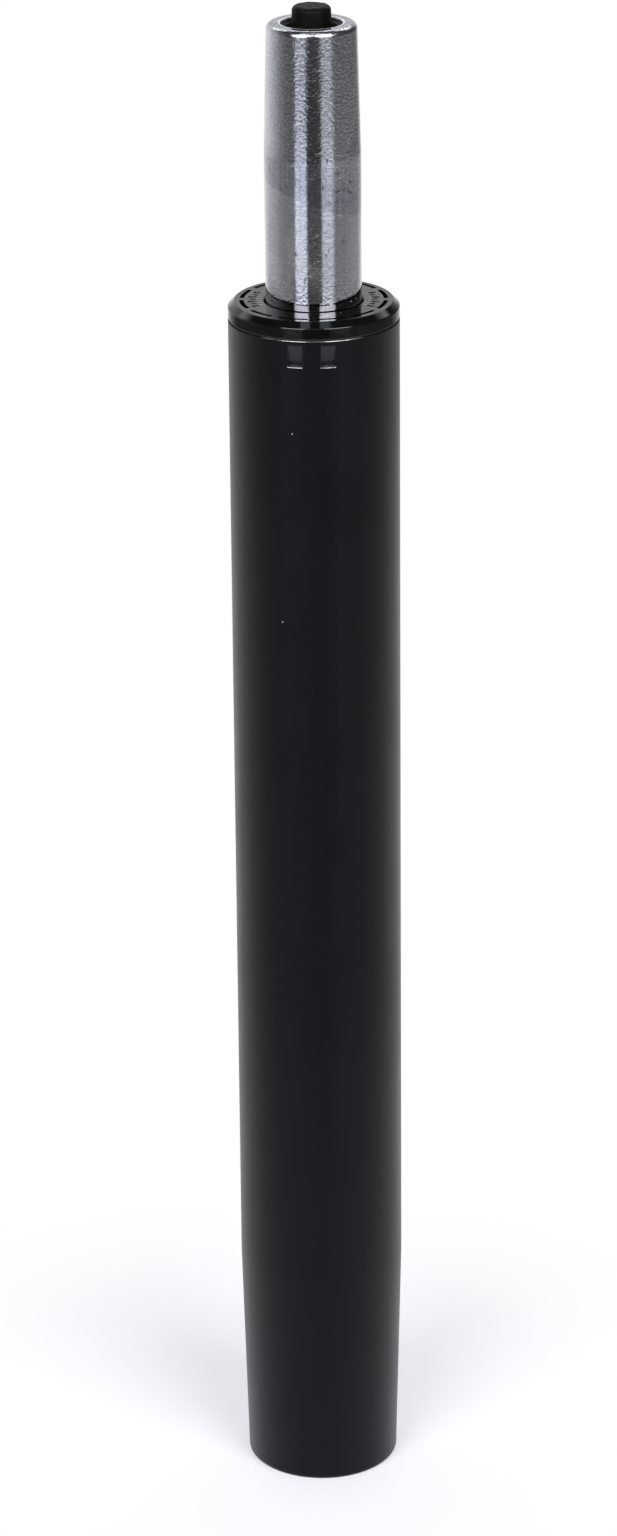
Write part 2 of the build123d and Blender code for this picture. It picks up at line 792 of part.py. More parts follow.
# Actuating pin between the stem and the button
with BuildPart() as actuating_pin:
    turned((0, stem_top), (pin_radius, stem_top), (pin_radius, pin_top, race_edge), (0, pin_top))
actuating_pin.part.label = "actuating_pin"
export_step(actuating_pin.part, "parts/actuating_pin.step")

# Release button: skirt in the recess, slight taper above the lip, well rounded top edge
pin_socket_radius = pin_radius + pin_fit_gap
with BuildPart() as release_button:
    turned(
        (pin_socket_radius, button_low),
        (button_base_diameter / 2, button_low, race_edge),
        (button_base_diameter / 2, tube_top),
        (button_top_diameter / 2, button_top, button_edge_radius),
        (0, button_top),
        (0, pin_top),
        (pin_socket_radius, pin_top),
    )
release_button.part.label = "release_button"
export_step(release_button.part, "parts/release_button.step")

print(f"overall height {button_top:.2f} mm lowered, {button_top + stroke:.2f} mm raised")
print(f"piston top {rivet_top:.2f} mm, valve from {spigot_low:.2f} mm, tube end {tube_top:.2f} mm")
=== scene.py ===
import json
from math import asin, cos, degrees, pi, radians, sin, tan

import bmesh
import bpy
from mathutils import Matrix, Vector, noise


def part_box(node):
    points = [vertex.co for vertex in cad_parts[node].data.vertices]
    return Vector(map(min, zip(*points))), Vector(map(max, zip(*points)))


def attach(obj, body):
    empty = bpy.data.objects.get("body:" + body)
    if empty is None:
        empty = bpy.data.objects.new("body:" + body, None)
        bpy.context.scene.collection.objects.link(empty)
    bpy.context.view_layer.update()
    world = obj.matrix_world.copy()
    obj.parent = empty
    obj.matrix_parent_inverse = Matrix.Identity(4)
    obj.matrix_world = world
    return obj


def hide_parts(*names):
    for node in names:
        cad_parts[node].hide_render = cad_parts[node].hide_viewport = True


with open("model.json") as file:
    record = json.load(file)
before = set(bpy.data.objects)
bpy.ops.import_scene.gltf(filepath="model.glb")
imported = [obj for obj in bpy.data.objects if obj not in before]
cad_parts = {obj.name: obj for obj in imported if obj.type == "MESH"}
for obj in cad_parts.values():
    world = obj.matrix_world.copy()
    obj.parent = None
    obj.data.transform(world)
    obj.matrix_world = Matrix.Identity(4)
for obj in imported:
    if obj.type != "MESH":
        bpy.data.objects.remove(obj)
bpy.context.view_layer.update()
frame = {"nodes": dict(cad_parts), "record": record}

# All lengths are in metres. The axis of the column is Z, and its front is towards -Y.
MM = 0.001

# Camera, solved from the photograph's tube edges, rim, foot and cones
PHOTO_HEIGHT = 1536
SENSOR_MM = 36.0
FOCAL_PIXELS = 4966.7
CAMERA_DISTANCE = 1494.9 * MM
CAMERA_ELEVATION = radians(21.543)
CAMERA_ROLL = radians(-0.512)
CAMERA_SIDE = -2.73 * MM
CAMERA_AIM_HEIGHT = 230.97 * MM
CAMERA_CLIP = (0.01, 50.0)
FRONT_TURN = radians(1.87)

# Mesh fineness
SEGMENTS = 240
ARC_STEP = radians(11.25)
MIN_ARC_STEPS = 3
SUPPORT = 0.03 * MM
SHARP_ANGLE = radians(50)
MERGE_DISTANCE = 0.002 * MM
TINY_AREA = 1e-18

# Column tube, as in the CAD model
COLUMN_RADIUS = 25.0 * MM
COLUMN_WALL = 2.0 * MM
COLUMN_CONE_LENGTH = 70.0 * MM
TAPER = tan(radians(1.4378))
CONE_BLEND_RADIUS = 20.0 * MM
RIM_EDGE = 0.5 * MM
FOOT_EDGE = 1.6 * MM
FOOT_INNER_EDGE = 0.6 * MM
FOOT_LIP_WIDTH = 2.8 * MM
FOOT_LIP_EDGE = 0.5 * MM

# Tabs pressed inwards below the rim
TAB_PAIR_COUNT = 2
TAB_WIDTH = 4.55 * MM
TAB_SPACING = 9.6 * MM
TAB_BEND_DROP = 1.6 * MM
TAB_LENGTH = 5.0 * MM
TAB_PUSH = 1.5 * MM
TAB_SLOT = 1.25 * MM
TAB_POCKET = 1.9 * MM
TAB_SIDE_SOFTNESS = 0.22 * MM
TAB_SIDE_LINES = (-1.2, -1.0, -0.5, 0.0, 0.2)
TAB_BEND_LINE = 0.3 * MM
TAB_LIP_RADIUS = 0.45 * MM
TAB_LIP_STEPS = 8

# Guide bush: collar, sleeve, arc slots and raised strokes
COLLAR_WALL = 3.5 * MM
COLLAR_SHOULDER_HEIGHT = 1.75 * MM
COLLAR_SHOULDER_WIDTH = 1.85 * MM
COLLAR_EDGE = 0.45 * MM
BUSH_BORE = 14.05 * MM
BUSH_LEAD_WIDTH = 0.7 * MM
BUSH_LEAD_DEPTH = 0.9 * MM
BUSH_SLEEVE_RADIUS = 22.95 * MM
BUSH_NECK_RADIUS = 21.3 * MM
BUSH_END_CHAMFER = 0.8 * MM
BUSH_BORE_WALL = 2.4 * MM
BUSH_SKIN = 1.4 * MM
BUSH_ROOF_DEPTH = 5.0 * MM
BUSH_NECK_DROP = 6.8 * MM
SLOT_COUNT = 12
SLOT_RADIUS = 21.0 * MM
SLOT_WIDTH = 1.3 * MM
SLOT_BRIDGE = radians(6)
SLOT_DEPTH = 3.0 * MM
STROKE_COUNT = 7
STROKE_PITCH = radians(7.5)
STROKE_START = 17.0 * MM
STROKE_LONG = 2.3 * MM
STROKE_SHORT = 1.4 * MM
STROKE_WIDTH = 0.5 * MM
STROKE_HEIGHT = 0.2 * MM
RELIEF_WALL = 0.12 * MM

# Pressure tube
TUBE_RADIUS = 14.0 * MM
TUBE_WALL = 1.5 * MM
TUBE_CONE_LENGTH = 37.7 * MM
TUBE_MOUTH_RADIUS = 8.9 * MM
TUBE_TOP_EDGE = 1.8 * MM
TUBE_MOUTH_EDGE = 0.5 * MM
TUBE_FOOT_MOUTH = 7.5 * MM
TUBE_FOOT_EDGE = 2.0 * MM
TUBE_INNER_EDGE = 0.6 * MM

# Release button
BUTTON_TOP_RADIUS = 5.55 * MM
BUTTON_BASE_RADIUS = 5.75 * MM
BUTTON_EDGE = 1.4 * MM
BUTTON_BASE_EDGE = 0.3 * MM
BUTTON_LUMP_DEPTH = 0.16 * MM
BUTTON_LUMP_SCALE = 620.0
BUTTON_LOOP_STEP = 0.3 * MM
BUTTON_SOCKET_RADIUS = 3.05 * MM
BUTTON_ROOF = 3.4 * MM

# Levels, read from the frame
RIM_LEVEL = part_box("column_tube")[1].z
TUBE_FOOT_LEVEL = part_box("pressure_tube")[0].z
TUBE_TOP_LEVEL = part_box("pressure_tube")[1].z
BUTTON_LOW_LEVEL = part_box("release_button")[0].z
BUTTON_TOP_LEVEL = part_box("release_button")[1].z
BUSH_LOW_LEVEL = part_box("guide_bush")[0].z
BUSH_NECK_LEVEL = RIM_LEVEL - BUSH_NECK_DROP
COLLAR_FACE_LEVEL = RIM_LEVEL + COLLAR_WALL + COLLAR_SHOULDER_HEIGHT
TAB_BEND_LEVEL = RIM_LEVEL - TAB_BEND_DROP
TAB_LIP_DROP = TAB_LENGTH + TAB_SLOT
TAB_LIP_LEVEL = TAB_BEND_LEVEL - TAB_LENGTH - TAB_SLOT

# Half widths and soft sides as angles, and the bush's pocket, as they follow from the sizes
TAB_HALF = asin(TAB_WIDTH / 2 / COLUMN_RADIUS)
TAB_SOFT = TAB_SIDE_SOFTNESS / COLUMN_RADIUS
SLOT_HALF = (2 * pi / SLOT_COUNT - SLOT_BRIDGE) / 2
SLOT_SOFT = RELIEF_WALL / SLOT_RADIUS
STROKE_HALF = STROKE_WIDTH / 2 / STROKE_START
STROKE_SOFT = RELIEF_WALL / STROKE_START
POCKET_INNER = BUSH_BORE + BUSH_BORE_WALL
POCKET_OUTER = BUSH_NECK_RADIUS - BUSH_SKIN
POCKET_ROOF_LEVEL = BUSH_NECK_LEVEL - BUSH_ROOF_DEPTH


# Outlines and lathe meshes


def turned(vector, angle):
    """The flat vector turned anticlockwise by the angle."""
    x, y = vector
    return Vector((x * cos(angle) - y * sin(angle), x * sin(angle) + y * cos(angle)))


def rounded(*corners):
    """Points of a closed outline from (distance, height) or (distance, height, radius) corners."""
    points = []
    count = len(corners)
    for number, corner in enumerate(corners):
        here = Vector(corner[:2])
        radius = corner[2] if len(corner) > 2 else 0.0
        if radius == 0.0:
            points.append(here)
            continue
        to_last = (Vector(corners[number - 1][:2]) - here).normalized()
        to_next = (Vector(corners[(number + 1) % count][:2]) - here).normalized()
        half = to_last.angle(to_next) / 2
        reach = radius / tan(half)
        centre = here + (to_last + to_next).normalized() * (radius / sin(half))
        start = here + to_last * reach
        end = here + to_next * reach
        points.append(start + to_last * SUPPORT)
        first = (start - centre).normalized()
        last = (end - centre).normalized()
        swing = first.angle_signed(last)
        steps = max(MIN_ARC_STEPS, round(abs(swing) / ARC_STEP))
        for step in range(steps + 1):
            points.append(centre + turned(first, -swing * step / steps) * radius)
        points.append(end + to_next * SUPPORT)
    return points


def with_points(outline, extra):
    """The outline with extra points added, each on the straight edge that passes nearest to it."""
    result = list(outline)
    for point in extra:
        best = None
        for number, start in enumerate(result):
            edge = result[(number + 1) % len(result)] - start
            share = (point - start).dot(edge) / max(edge.length_squared, TINY_AREA)
            miss = (start + edge * min(1.0, max(0.0, share)) - point).length
            if best is None or miss < best[0]:
                best = (miss, number)
        result.insert(best[1] + 1, point)
    return result


def even_angles():
    """The azimuths of a lathe mesh with no lines of its own."""
    return [2 * pi * number / SEGMENTS for number in range(SEGMENTS)]


def angle_between(first, second):
    """The angle between two azimuths, from 0 to pi."""
    return abs((first - second + pi) % (2 * pi) - pi)


def with_lines(angles, extra):
    """The extra lines and those of the angles that aren't too near to one of them, in order."""
    kept = [angle % (2 * pi) for angle in extra]
    spacing = pi / SEGMENTS / 2
    for angle in angles:
        if all(angle_between(angle, other) > spacing for other in kept):
            kept.append(angle)
    return sorted(kept)


def make_object(name, vertices, faces, material, body, node):
    """A smooth piece that rides its body and takes the place of a CAD node."""
    mesh = bpy.data.meshes.new(name)
    mesh.from_pydata(vertices, [], faces)
    cleaner = bmesh.new()
    cleaner.from_mesh(mesh)
    bmesh.ops.remove_doubles(cleaner, verts=cleaner.verts, dist=MERGE_DISTANCE)
    bmesh.ops.dissolve_degenerate(cleaner, edges=cleaner.edges, dist=MERGE_DISTANCE)
    bmesh.ops.recalc_face_normals(cleaner, faces=cleaner.faces)
    cleaner.to_mesh(mesh)
    cleaner.free()
    mesh.polygons.foreach_set("use_smooth", [True] * len(mesh.polygons))
    mesh.set_sharp_from_angle(angle=SHARP_ANGLE)
    mesh.materials.append(material)
    mesh.update()
    piece = bpy.data.objects.new(name, mesh)
    bpy.context.scene.collection.objects.link(piece)
    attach(piece, body)
    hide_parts(node)
    return piece


def lathe_mesh(outline, angles, shape=None):
    """Vertices and faces of a closed outline turned round Z.

    shape(distance, height, angle) gives the distance and height to use instead, where the surface
    isn't round. Points on the axis are shared by all angles.
    """
    vertices = []
    rings = []
    for distance, height in outline:
        if distance < SUPPORT / 10:
            rings.append([len(vertices)] * len(angles))
            vertices.append((0.0, 0.0, height))
            continue
        ring = []
        for angle in angles:
            r, z = shape(distance, height, angle) if shape else (distance, height)
            ring.append(len(vertices))
            vertices.append((r * cos(angle), r * sin(angle), z))
        rings.append(ring)
    faces = []
    for low, high in zip(rings, rings[1:] + rings[:1]):
        for number in range(len(angles)):
            other = (number + 1) % len(angles)
            corners = [low[number], low[other], high[other], high[number]]
            face = [v for place, v in enumerate(corners) if v not in corners[:place]]
            if len(face) > 2:
                faces.append(face)
    return vertices, faces


# Piece shapes


def column_outer(height):
    """The column tube's outer radius at a height."""
    return COLUMN_RADIUS - max(0.0, COLUMN_CONE_LENGTH - height) * TAPER


def tab_angles():
    """The azimuth of each tab's middle, in pairs in front and behind."""
    offset = asin(TAB_SPACING / 2 / COLUMN_RADIUS)
    middles = [-pi / 2 + pair * 2 * pi / TAB_PAIR_COUNT for pair in range(TAB_PAIR_COUNT)]
    return [middle + side * offset for middle in middles for side in (-1, 1)]


def ramp(value, low, high):
    """0 below low, 1 above high, straight in between."""
    return min(1.0, max(0.0, (value - low) / (high - low)))


def tab_depth(drop):
    """How far the wall is pushed in at a drop below the tab's bend line."""
    if drop <= TAB_LENGTH:
        return TAB_PUSH * ramp(drop, 0.0, TAB_LENGTH)
    if drop <= TAB_LIP_DROP:
        return TAB_POCKET
    inward = ramp(drop, TAB_LIP_DROP, TAB_LIP_DROP + TAB_LIP_RADIUS)
    return TAB_LIP_RADIUS * (1 - (1 - (1 - inward) ** 2) ** 0.5)


def press_tabs(distance, height, angle):
    """The column tube's wall pushed in at the tabs."""
    drop = TAB_BEND_LEVEL - height
    on_wall = abs(distance - COLUMN_RADIUS) < SUPPORT / 10
    if not on_wall or drop < 0 or drop > TAB_LIP_DROP + TAB_LIP_RADIUS:
        return distance, height
    nearest = min(angle_between(angle, middle) for middle in tab_angles())
    inside = 1 - ramp(nearest, TAB_HALF - TAB_SOFT, TAB_HALF)
    return distance - tab_depth(drop) * inside, height


def tab_drops():
    """The drops below the bend line at which the wall needs a point."""
    drops = [0.0, TAB_BEND_LINE, TAB_LENGTH / 2, TAB_LENGTH - SUPPORT]
    drops += [TAB_LENGTH + 2 * SUPPORT, TAB_LIP_DROP - SUPPORT]
    for step in range(TAB_LIP_STEPS + 1):
        drops.append(TAB_LIP_DROP + TAB_LIP_RADIUS * (1 - cos(pi / 2 * step / TAB_LIP_STEPS)))
    return drops


def build_column_tube(material):
    mouth_radius = column_outer(0) - COLUMN_WALL - FOOT_LIP_WIDTH
    inner = COLUMN_RADIUS - COLUMN_WALL
    outline = rounded(
        (mouth_radius, COLUMN_WALL, FOOT_LIP_EDGE),
        (mouth_radius, 0.0, FOOT_LIP_EDGE),
        (column_outer(0), 0.0, FOOT_EDGE),
        (COLUMN_RADIUS, COLUMN_CONE_LENGTH, CONE_BLEND_RADIUS),
        (COLUMN_RADIUS, RIM_LEVEL, RIM_EDGE),
        (inner, RIM_LEVEL, RIM_EDGE / 2),
        (inner, COLUMN_CONE_LENGTH),
        (column_outer(COLUMN_WALL) - COLUMN_WALL, COLUMN_WALL, FOOT_INNER_EDGE),
    )
    drops = [Vector((COLUMN_RADIUS, TAB_BEND_LEVEL - drop)) for drop in tab_drops()]
    side_lines = [
        middle + side * (TAB_HALF + shift * TAB_SOFT)
        for middle in tab_angles()
        for side in (-1, 1)
        for shift in TAB_SIDE_LINES
    ]
    angles = with_lines(even_angles(), side_lines)
    vertices, faces = lathe_mesh(with_points(outline, drops), angles, press_tabs)
    return make_object(
        "column_tube_shell", vertices, faces, material, "column", "column_tube"
    )


def slot_middles():
    """The azimuth of each arc slot's middle."""
    return [(number + 0.5) * 2 * pi / SLOT_COUNT for number in range(SLOT_COUNT)]


def stroke_places():
    """(azimuth, length) of each plain stroke on the collar's two sides."""
    places = []
    for side in (0.0, pi):
        for number in range(STROKE_COUNT):
            azimuth = side + (number - (STROKE_COUNT - 1) / 2) * STROKE_PITCH
            places.append((azimuth, STROKE_LONG if number % 2 == 0 else STROKE_SHORT))
    return places


def bush_lines():
    """The azimuths at which a slot or a stroke begins or ends."""
    lines = []
    for side in (-1, 1):
        for middle in slot_middles():
            lines += [middle + side * (SLOT_HALF - SLOT_SOFT), middle + side * SLOT_HALF]
        for azimuth, _ in stroke_places():
            lines += [azimuth + side * STROKE_HALF, azimuth + side * (STROKE_HALF + STROKE_SOFT)]
    return lines


def collar_loops():
    """The distances from the axis at which a slot or a stroke begins or ends."""
    loops = [STROKE_START - RELIEF_WALL, STROKE_START]
    for reach in (STROKE_SHORT, STROKE_LONG):
        loops += [STROKE_START + reach, STROKE_START + reach + RELIEF_WALL]
    for side in (-1, 1):
        edge = SLOT_RADIUS + side * SLOT_WIDTH / 2
        loops += [edge, edge - side * RELIEF_WALL]
    return sorted(loops)


def bush_relief(distance, height, angle):
    """The bush's pockets with their bridges, and the slots and strokes of its collar's face."""
    nearest = min(angle_between(angle, middle) for middle in slot_middles())
    along = 1 - ramp(nearest, SLOT_HALF - SLOT_SOFT, SLOT_HALF)
    in_pocket = POCKET_INNER - SUPPORT < distance < POCKET_OUTER + SUPPORT
    if in_pocket and height < POCKET_ROOF_LEVEL + SUPPORT:
        return distance, BUSH_LOW_LEVEL + (height - BUSH_LOW_LEVEL) * along
    if abs(height - COLLAR_FACE_LEVEL) > SUPPORT / 10:
        return distance, height
    slot_inner = SLOT_RADIUS - SLOT_WIDTH / 2
    slot_outer = SLOT_RADIUS + SLOT_WIDTH / 2
    across = ramp(distance, slot_inner, slot_inner + RELIEF_WALL)
    across *= 1 - ramp(distance, slot_outer - RELIEF_WALL, slot_outer)
    height -= SLOT_DEPTH * across * along
    for azimuth, reach in stroke_places():
        wide = 1 - ramp(angle_between(angle, azimuth), STROKE_HALF, STROKE_HALF + STROKE_SOFT)
        if wide > 0.0:
            end = STROKE_START + reach
            deep = ramp(distance, STROKE_START - RELIEF_WALL, STROKE_START)
            deep *= 1 - ramp(distance, end, end + RELIEF_WALL)
            height += STROKE_HEIGHT * wide * deep
    return distance, height


def build_guide_bush(material):
    outline = rounded(
        (BUSH_BORE, COLLAR_FACE_LEVEL - BUSH_LEAD_DEPTH),
        (BUSH_BORE + BUSH_LEAD_WIDTH, COLLAR_FACE_LEVEL, COLLAR_EDGE / 2),
        (COLUMN_RADIUS - COLLAR_SHOULDER_WIDTH, COLLAR_FACE_LEVEL, COLLAR_EDGE),
        (COLUMN_RADIUS, RIM_LEVEL + COLLAR_WALL, COLLAR_EDGE),
        (COLUMN_RADIUS, RIM_LEVEL, COLLAR_EDGE / 2),
        (BUSH_NECK_RADIUS, RIM_LEVEL),
        (BUSH_NECK_RADIUS, BUSH_NECK_LEVEL),
        (BUSH_SLEEVE_RADIUS, BUSH_NECK_LEVEL, COLLAR_EDGE / 2),
        (BUSH_SLEEVE_RADIUS, BUSH_LOW_LEVEL + BUSH_END_CHAMFER),
        (BUSH_SLEEVE_RADIUS - BUSH_END_CHAMFER, BUSH_LOW_LEVEL),
        (POCKET_OUTER, BUSH_LOW_LEVEL),
        (POCKET_OUTER, POCKET_ROOF_LEVEL),
        (POCKET_INNER, POCKET_ROOF_LEVEL),
        (POCKET_INNER, BUSH_LOW_LEVEL),
        (BUSH_BORE + BUSH_END_CHAMFER, BUSH_LOW_LEVEL),
        (BUSH_BORE, BUSH_LOW_LEVEL + BUSH_END_CHAMFER),
    )
    loops = [Vector((distance, COLLAR_FACE_LEVEL)) for distance in collar_loops()]
    angles = with_lines(even_angles(), bush_lines())
    vertices, faces = lathe_mesh(with_points(outline, loops), angles, bush_relief)
    return make_object(
        "guide_bush_moulding", vertices, faces, material, "column", "guide_bush"
    )


def build_pressure_tube(material):
    cone_start = TUBE_TOP_LEVEL - TUBE_CONE_LENGTH
    top_radius = TUBE_RADIUS - TUBE_CONE_LENGTH * TAPER
    inner = TUBE_RADIUS - TUBE_WALL
    outline = rounded(
        (TUBE_FOOT_MOUTH, TUBE_FOOT_LEVEL, TUBE_MOUTH_EDGE),
        (TUBE_RADIUS, TUBE_FOOT_LEVEL, TUBE_FOOT_EDGE),
        (TUBE_RADIUS, cone_start, CONE_BLEND_RADIUS),
        (top_radius, TUBE_TOP_LEVEL, TUBE_TOP_EDGE),
        (TUBE_MOUTH_RADIUS, TUBE_TOP_LEVEL, TUBE_MOUTH_EDGE),
        (TUBE_MOUTH_RADIUS, TUBE_TOP_LEVEL - TUBE_WALL),
        (top_radius - TUBE_WALL, TUBE_TOP_LEVEL - TUBE_WALL, TUBE_INNER_EDGE),
        (inner, cone_start),
        (inner, TUBE_FOOT_LEVEL + TUBE_WALL, TUBE_INNER_EDGE),
        (TUBE_FOOT_MOUTH, TUBE_FOOT_LEVEL + TUBE_WALL),
    )
    vertices, faces = lathe_mesh(outline, even_angles())
    return make_object(
        "pressure_tube_shell", vertices, faces, material, "gas_cylinder",
        "pressure_tube",
    )


def sunken_top(distance, height, angle):
    """The button's top and its rounded edge sink unevenly, and never rise."""
    share = ramp(height, BUTTON_TOP_LEVEL - BUTTON_EDGE, BUTTON_TOP_LEVEL - BUTTON_EDGE / 3)
    in_socket = distance < BUTTON_SOCKET_RADIUS and height < BUTTON_TOP_LEVEL - SUPPORT
    if share == 0.0 or in_socket:
        return distance, height
    share *= ramp(distance, 0.0, 2 * BUTTON_LOOP_STEP)
    spot = Vector((distance * cos(angle), distance * sin(angle), 0.0)) * BUTTON_LUMP_SCALE
    sink = min(1.0, max(0.0, 0.5 + noise.noise(spot)))
    return distance, height - BUTTON_LUMP_DEPTH * share * sink


def build_release_button(material):
    outline = rounded(
        (0.0, BUTTON_TOP_LEVEL - BUTTON_ROOF),
        (BUTTON_SOCKET_RADIUS, BUTTON_TOP_LEVEL - BUTTON_ROOF),
        (BUTTON_SOCKET_RADIUS, BUTTON_LOW_LEVEL),
        (BUTTON_BASE_RADIUS, BUTTON_LOW_LEVEL, BUTTON_BASE_EDGE),
        (BUTTON_BASE_RADIUS, TUBE_TOP_LEVEL),
        (BUTTON_TOP_RADIUS, BUTTON_TOP_LEVEL, BUTTON_EDGE),
        (0.0, BUTTON_TOP_LEVEL),
    )
    loop_count = int((BUTTON_TOP_RADIUS - BUTTON_EDGE) / BUTTON_LOOP_STEP)
    reaches = [number * BUTTON_LOOP_STEP for number in range(1, loop_count + 1)]
    loops = [Vector((reach, BUTTON_TOP_LEVEL)) for reach in reaches]
    vertices, faces = lathe_mesh(with_points(outline, loops), even_angles(), sunken_top)
    return make_object(
        "release_button_cap", vertices, faces, material, "release", "release_button"
    )


# Materials: a small kit for node trees


class Nodes:
    """Adds nodes to a material or world tree and links them."""

    def __init__(self, owner):
        owner.use_nodes = True
        self.tree = owner.node_tree
        self.tree.nodes.clear()

    def add(self, kind, links=None, inputs=None, **settings):
        """A node with links into some inputs, values in others, and its own settings."""
        node = self.tree.nodes.new(kind)
        for name, value in settings.items():
            setattr(node, name, value)
        for name, value in (inputs or {}).items():
            node.inputs[name].default_value = value
        for name, source in (links or {}).items():
            self.tree.links.new(source, node.inputs[name])
        return node

    def place(self):
        """The object's own coordinates."""
        return self.add("ShaderNodeTexCoord").outputs["Object"]

    def parts(self):
        """X, Y and Z of the place."""
        return self.add("ShaderNodeSeparateXYZ", {"Vector": self.place()}).outputs

    def stretched(self, scale, **inputs):
        """The place with a scale of its own along each axis."""
        inputs["Scale"] = scale
        return self.add("ShaderNodeMapping", {"Vector": self.place()}, inputs).outputs["Vector"]

    def noise(self, scale, detail=3.0, roughness=0.5, vector=None, distortion=0.0):
        inputs = {"Scale": scale, "Detail": detail, "Roughness": roughness, "Distortion": distortion}
        links = {"Vector": self.place() if vector is None else vector}
        return self.add("ShaderNodeTexNoise", links, inputs).outputs["Fac"]

    def specks(self, scale, core, edge):
        """Small round specks, 1 inside the core and 0 outside the edge."""
        node = self.add("ShaderNodeTexVoronoi", {"Vector": self.place()}, {"Scale": scale})
        return self.range(node.outputs["Distance"], core, edge, 1.0, 0.0)

    def near(self, place, size):
        """1 within half the size of the place, 0 beyond the size."""
        node = self.add("ShaderNodeVectorMath", {0: self.place()}, {1: place}, operation="DISTANCE")
        return self.range(node.outputs["Value"], size / 2, size, 1.0, 0.0)

    def range(self, value, low, high, start=0.0, end=1.0, smooth=False):
        """The value taken from low..high to start..end, and held beyond both."""
        style = "SMOOTHSTEP" if smooth else "LINEAR"
        inputs = {"From Min": low, "From Max": high, "To Min": start, "To Max": end}
        node = self.add("ShaderNodeMapRange", {"Value": value}, inputs, interpolation_type=style)
        return node.outputs["Result"]

    def span(self, value, start, end, soft_start, soft_end):
        """1 between start and end, with a soft edge at each, and 0 outside."""
        enter = self.range(value, start - soft_start, start + soft_start, smooth=True)
        leave = self.range(value, end - soft_end, end + soft_end, 1.0, 0.0, smooth=True)
        return self.times(enter, leave)

    def below(self, value, level, softness):
        """1 below the level and 0 above it, with a short straight change."""
        return self.range(value, level + softness, level - softness)

    def math(self, operation, first, second=0.0):
        node = self.add("ShaderNodeMath", operation=operation)
        for number, value in enumerate((first, second)):
            self.set_or_link(node, number, value)
        return node.outputs[0]

    def times(self, first, second):
        return self.math("MULTIPLY", first, second)

    def plus(self, first, second):
        return self.math("ADD", first, second)

    def minus(self, first, second):
        return self.math("SUBTRACT", first, second)

    def larger(self, first, second):
        return self.math("MAXIMUM", first, second)

    def axis_distance(self, parts):
        """The distance of the place from the column's axis."""
        squares = [self.times(parts[axis], parts[axis]) for axis in ("X", "Y")]
        return self.math("SQRT", self.plus(*squares))

    def mix(self, factor, first, second):
        """The colour first where the factor is 0, and second where it is 1."""
        node = self.add("ShaderNodeMix", data_type="RGBA")
        for number, value in ((0, factor), (6, first), (7, second)):
            self.set_or_link(node, number, value)
        return node.outputs[2]

    def set_or_link(self, node, number, value):
        if isinstance(value, (int, float, tuple)):
            node.inputs[number].default_value = value
        else:
            self.tree.links.new(value, node.inputs[number])

    def bump(self, height, strength, distance, normal=None):
        links = {"Height": height}
        if normal is not None:
            links["Normal"] = normal
        inputs = {"Strength": strength, "Distance": distance}
        return self.add("ShaderNodeBump", links, inputs).outputs["Normal"]

    def finish(self, links, inputs):
        shader = self.add("ShaderNodeBsdfPrincipled", links, inputs)
        self.add("ShaderNodeOutputMaterial", {"Surface": shader.outputs["BSDF"]})


def grey(value, blue=0.0):
    """A grey of the value, tinted towards blue."""
    return (value * (1 - blue / 2), value * (1 - blue / 3), value * (1 + blue), 1.0)


# Stretches of a noise's values: the middle of them, and nearly all of them
MIDDLE = (0.35, 0.65)
BROAD = (0.3, 0.7)

# Powder coat
COAT_DARK = grey(0.0007, 0.30)
COAT_LIGHT = grey(0.0013, 0.30)
COAT_DUST = grey(0.42)
# Painted reflection: the tabs' faces are made paler for the bright floor they mirror.
COAT_TAB_PAINTED_REFLECTION = grey(0.016, 0.14)
# Painted highlight: a pale metallic colour on the rim's front edge and the tabs' lips, with its share,
# polish and ranges below, stands in for their edge highlights.
COAT_PAINTED_HIGHLIGHT = grey(0.17, 0.04)
COAT_GLOSS_TINT = (0.29, 0.28, 0.34, 1.0)
COAT_HIGHLIGHT_SHARE = (0.70, 1.0)
COAT_HIGHLIGHT_POLISH = 0.24
COAT_FRONT = (-0.80 * COLUMN_RADIUS, -0.90 * COLUMN_RADIUS)
COAT_TURNED_IN = (COLUMN_RADIUS - 0.022 * MM, COLUMN_RADIUS - 0.010 * MM)
COAT_RIM_HIGHLIGHT = (RIM_LEVEL - RIM_EDGE, RIM_LEVEL - 0.9 * RIM_EDGE)
COAT_RIM_SEAM = (RIM_LEVEL - 1.2 * RIM_EDGE, RIM_LEVEL - 0.6 * RIM_EDGE)
COAT_SEAM_ROUGHNESS = 0.6
COAT_LIP_LEVEL = TAB_LIP_LEVEL - 0.4 * TAB_LIP_RADIUS
COAT_LIP_HIGHLIGHT = (0.3 * TAB_LIP_RADIUS, 0.6 * TAB_LIP_RADIUS)
COAT_TAB_LOW = (TAB_LIP_LEVEL, TAB_LIP_LEVEL + TAB_SLOT)
COAT_TAB_HIGH = (RIM_LEVEL - 2 * RIM_EDGE, RIM_LEVEL - RIM_EDGE)

# Moulded plastic of the guide bush
PLASTIC_DARK = grey(0.0016)
PLASTIC_LIGHT = grey(0.0028)
PLASTIC_DUST = grey(0.60)
PLASTIC_GLOSS_TINT = grey(0.90)
PLASTIC_SEAM = (RIM_LEVEL + 0.2 * MM, RIM_LEVEL + 0.5 * MM)
PLASTIC_SEAM_ROUGHNESS = 0.85

# Zinc plated pressure tube
ZINC_DARK = (0.55, 0.565, 0.63, 1.0)
ZINC_LIGHT = (0.66, 0.67, 0.72, 1.0)
ZINC_LINES = (0.66, 0.67, 0.71, 1.0)
ZINC_DULL = (0.22, 0.23, 0.26, 1.0)
ZINC_FINE = (0.20, 0.21, 0.24, 1.0)
ZINC_SCUFF = (0.14, 0.15, 0.18, 1.0)
ZINC_PIT = (0.16, 0.16, 0.19, 1.0)
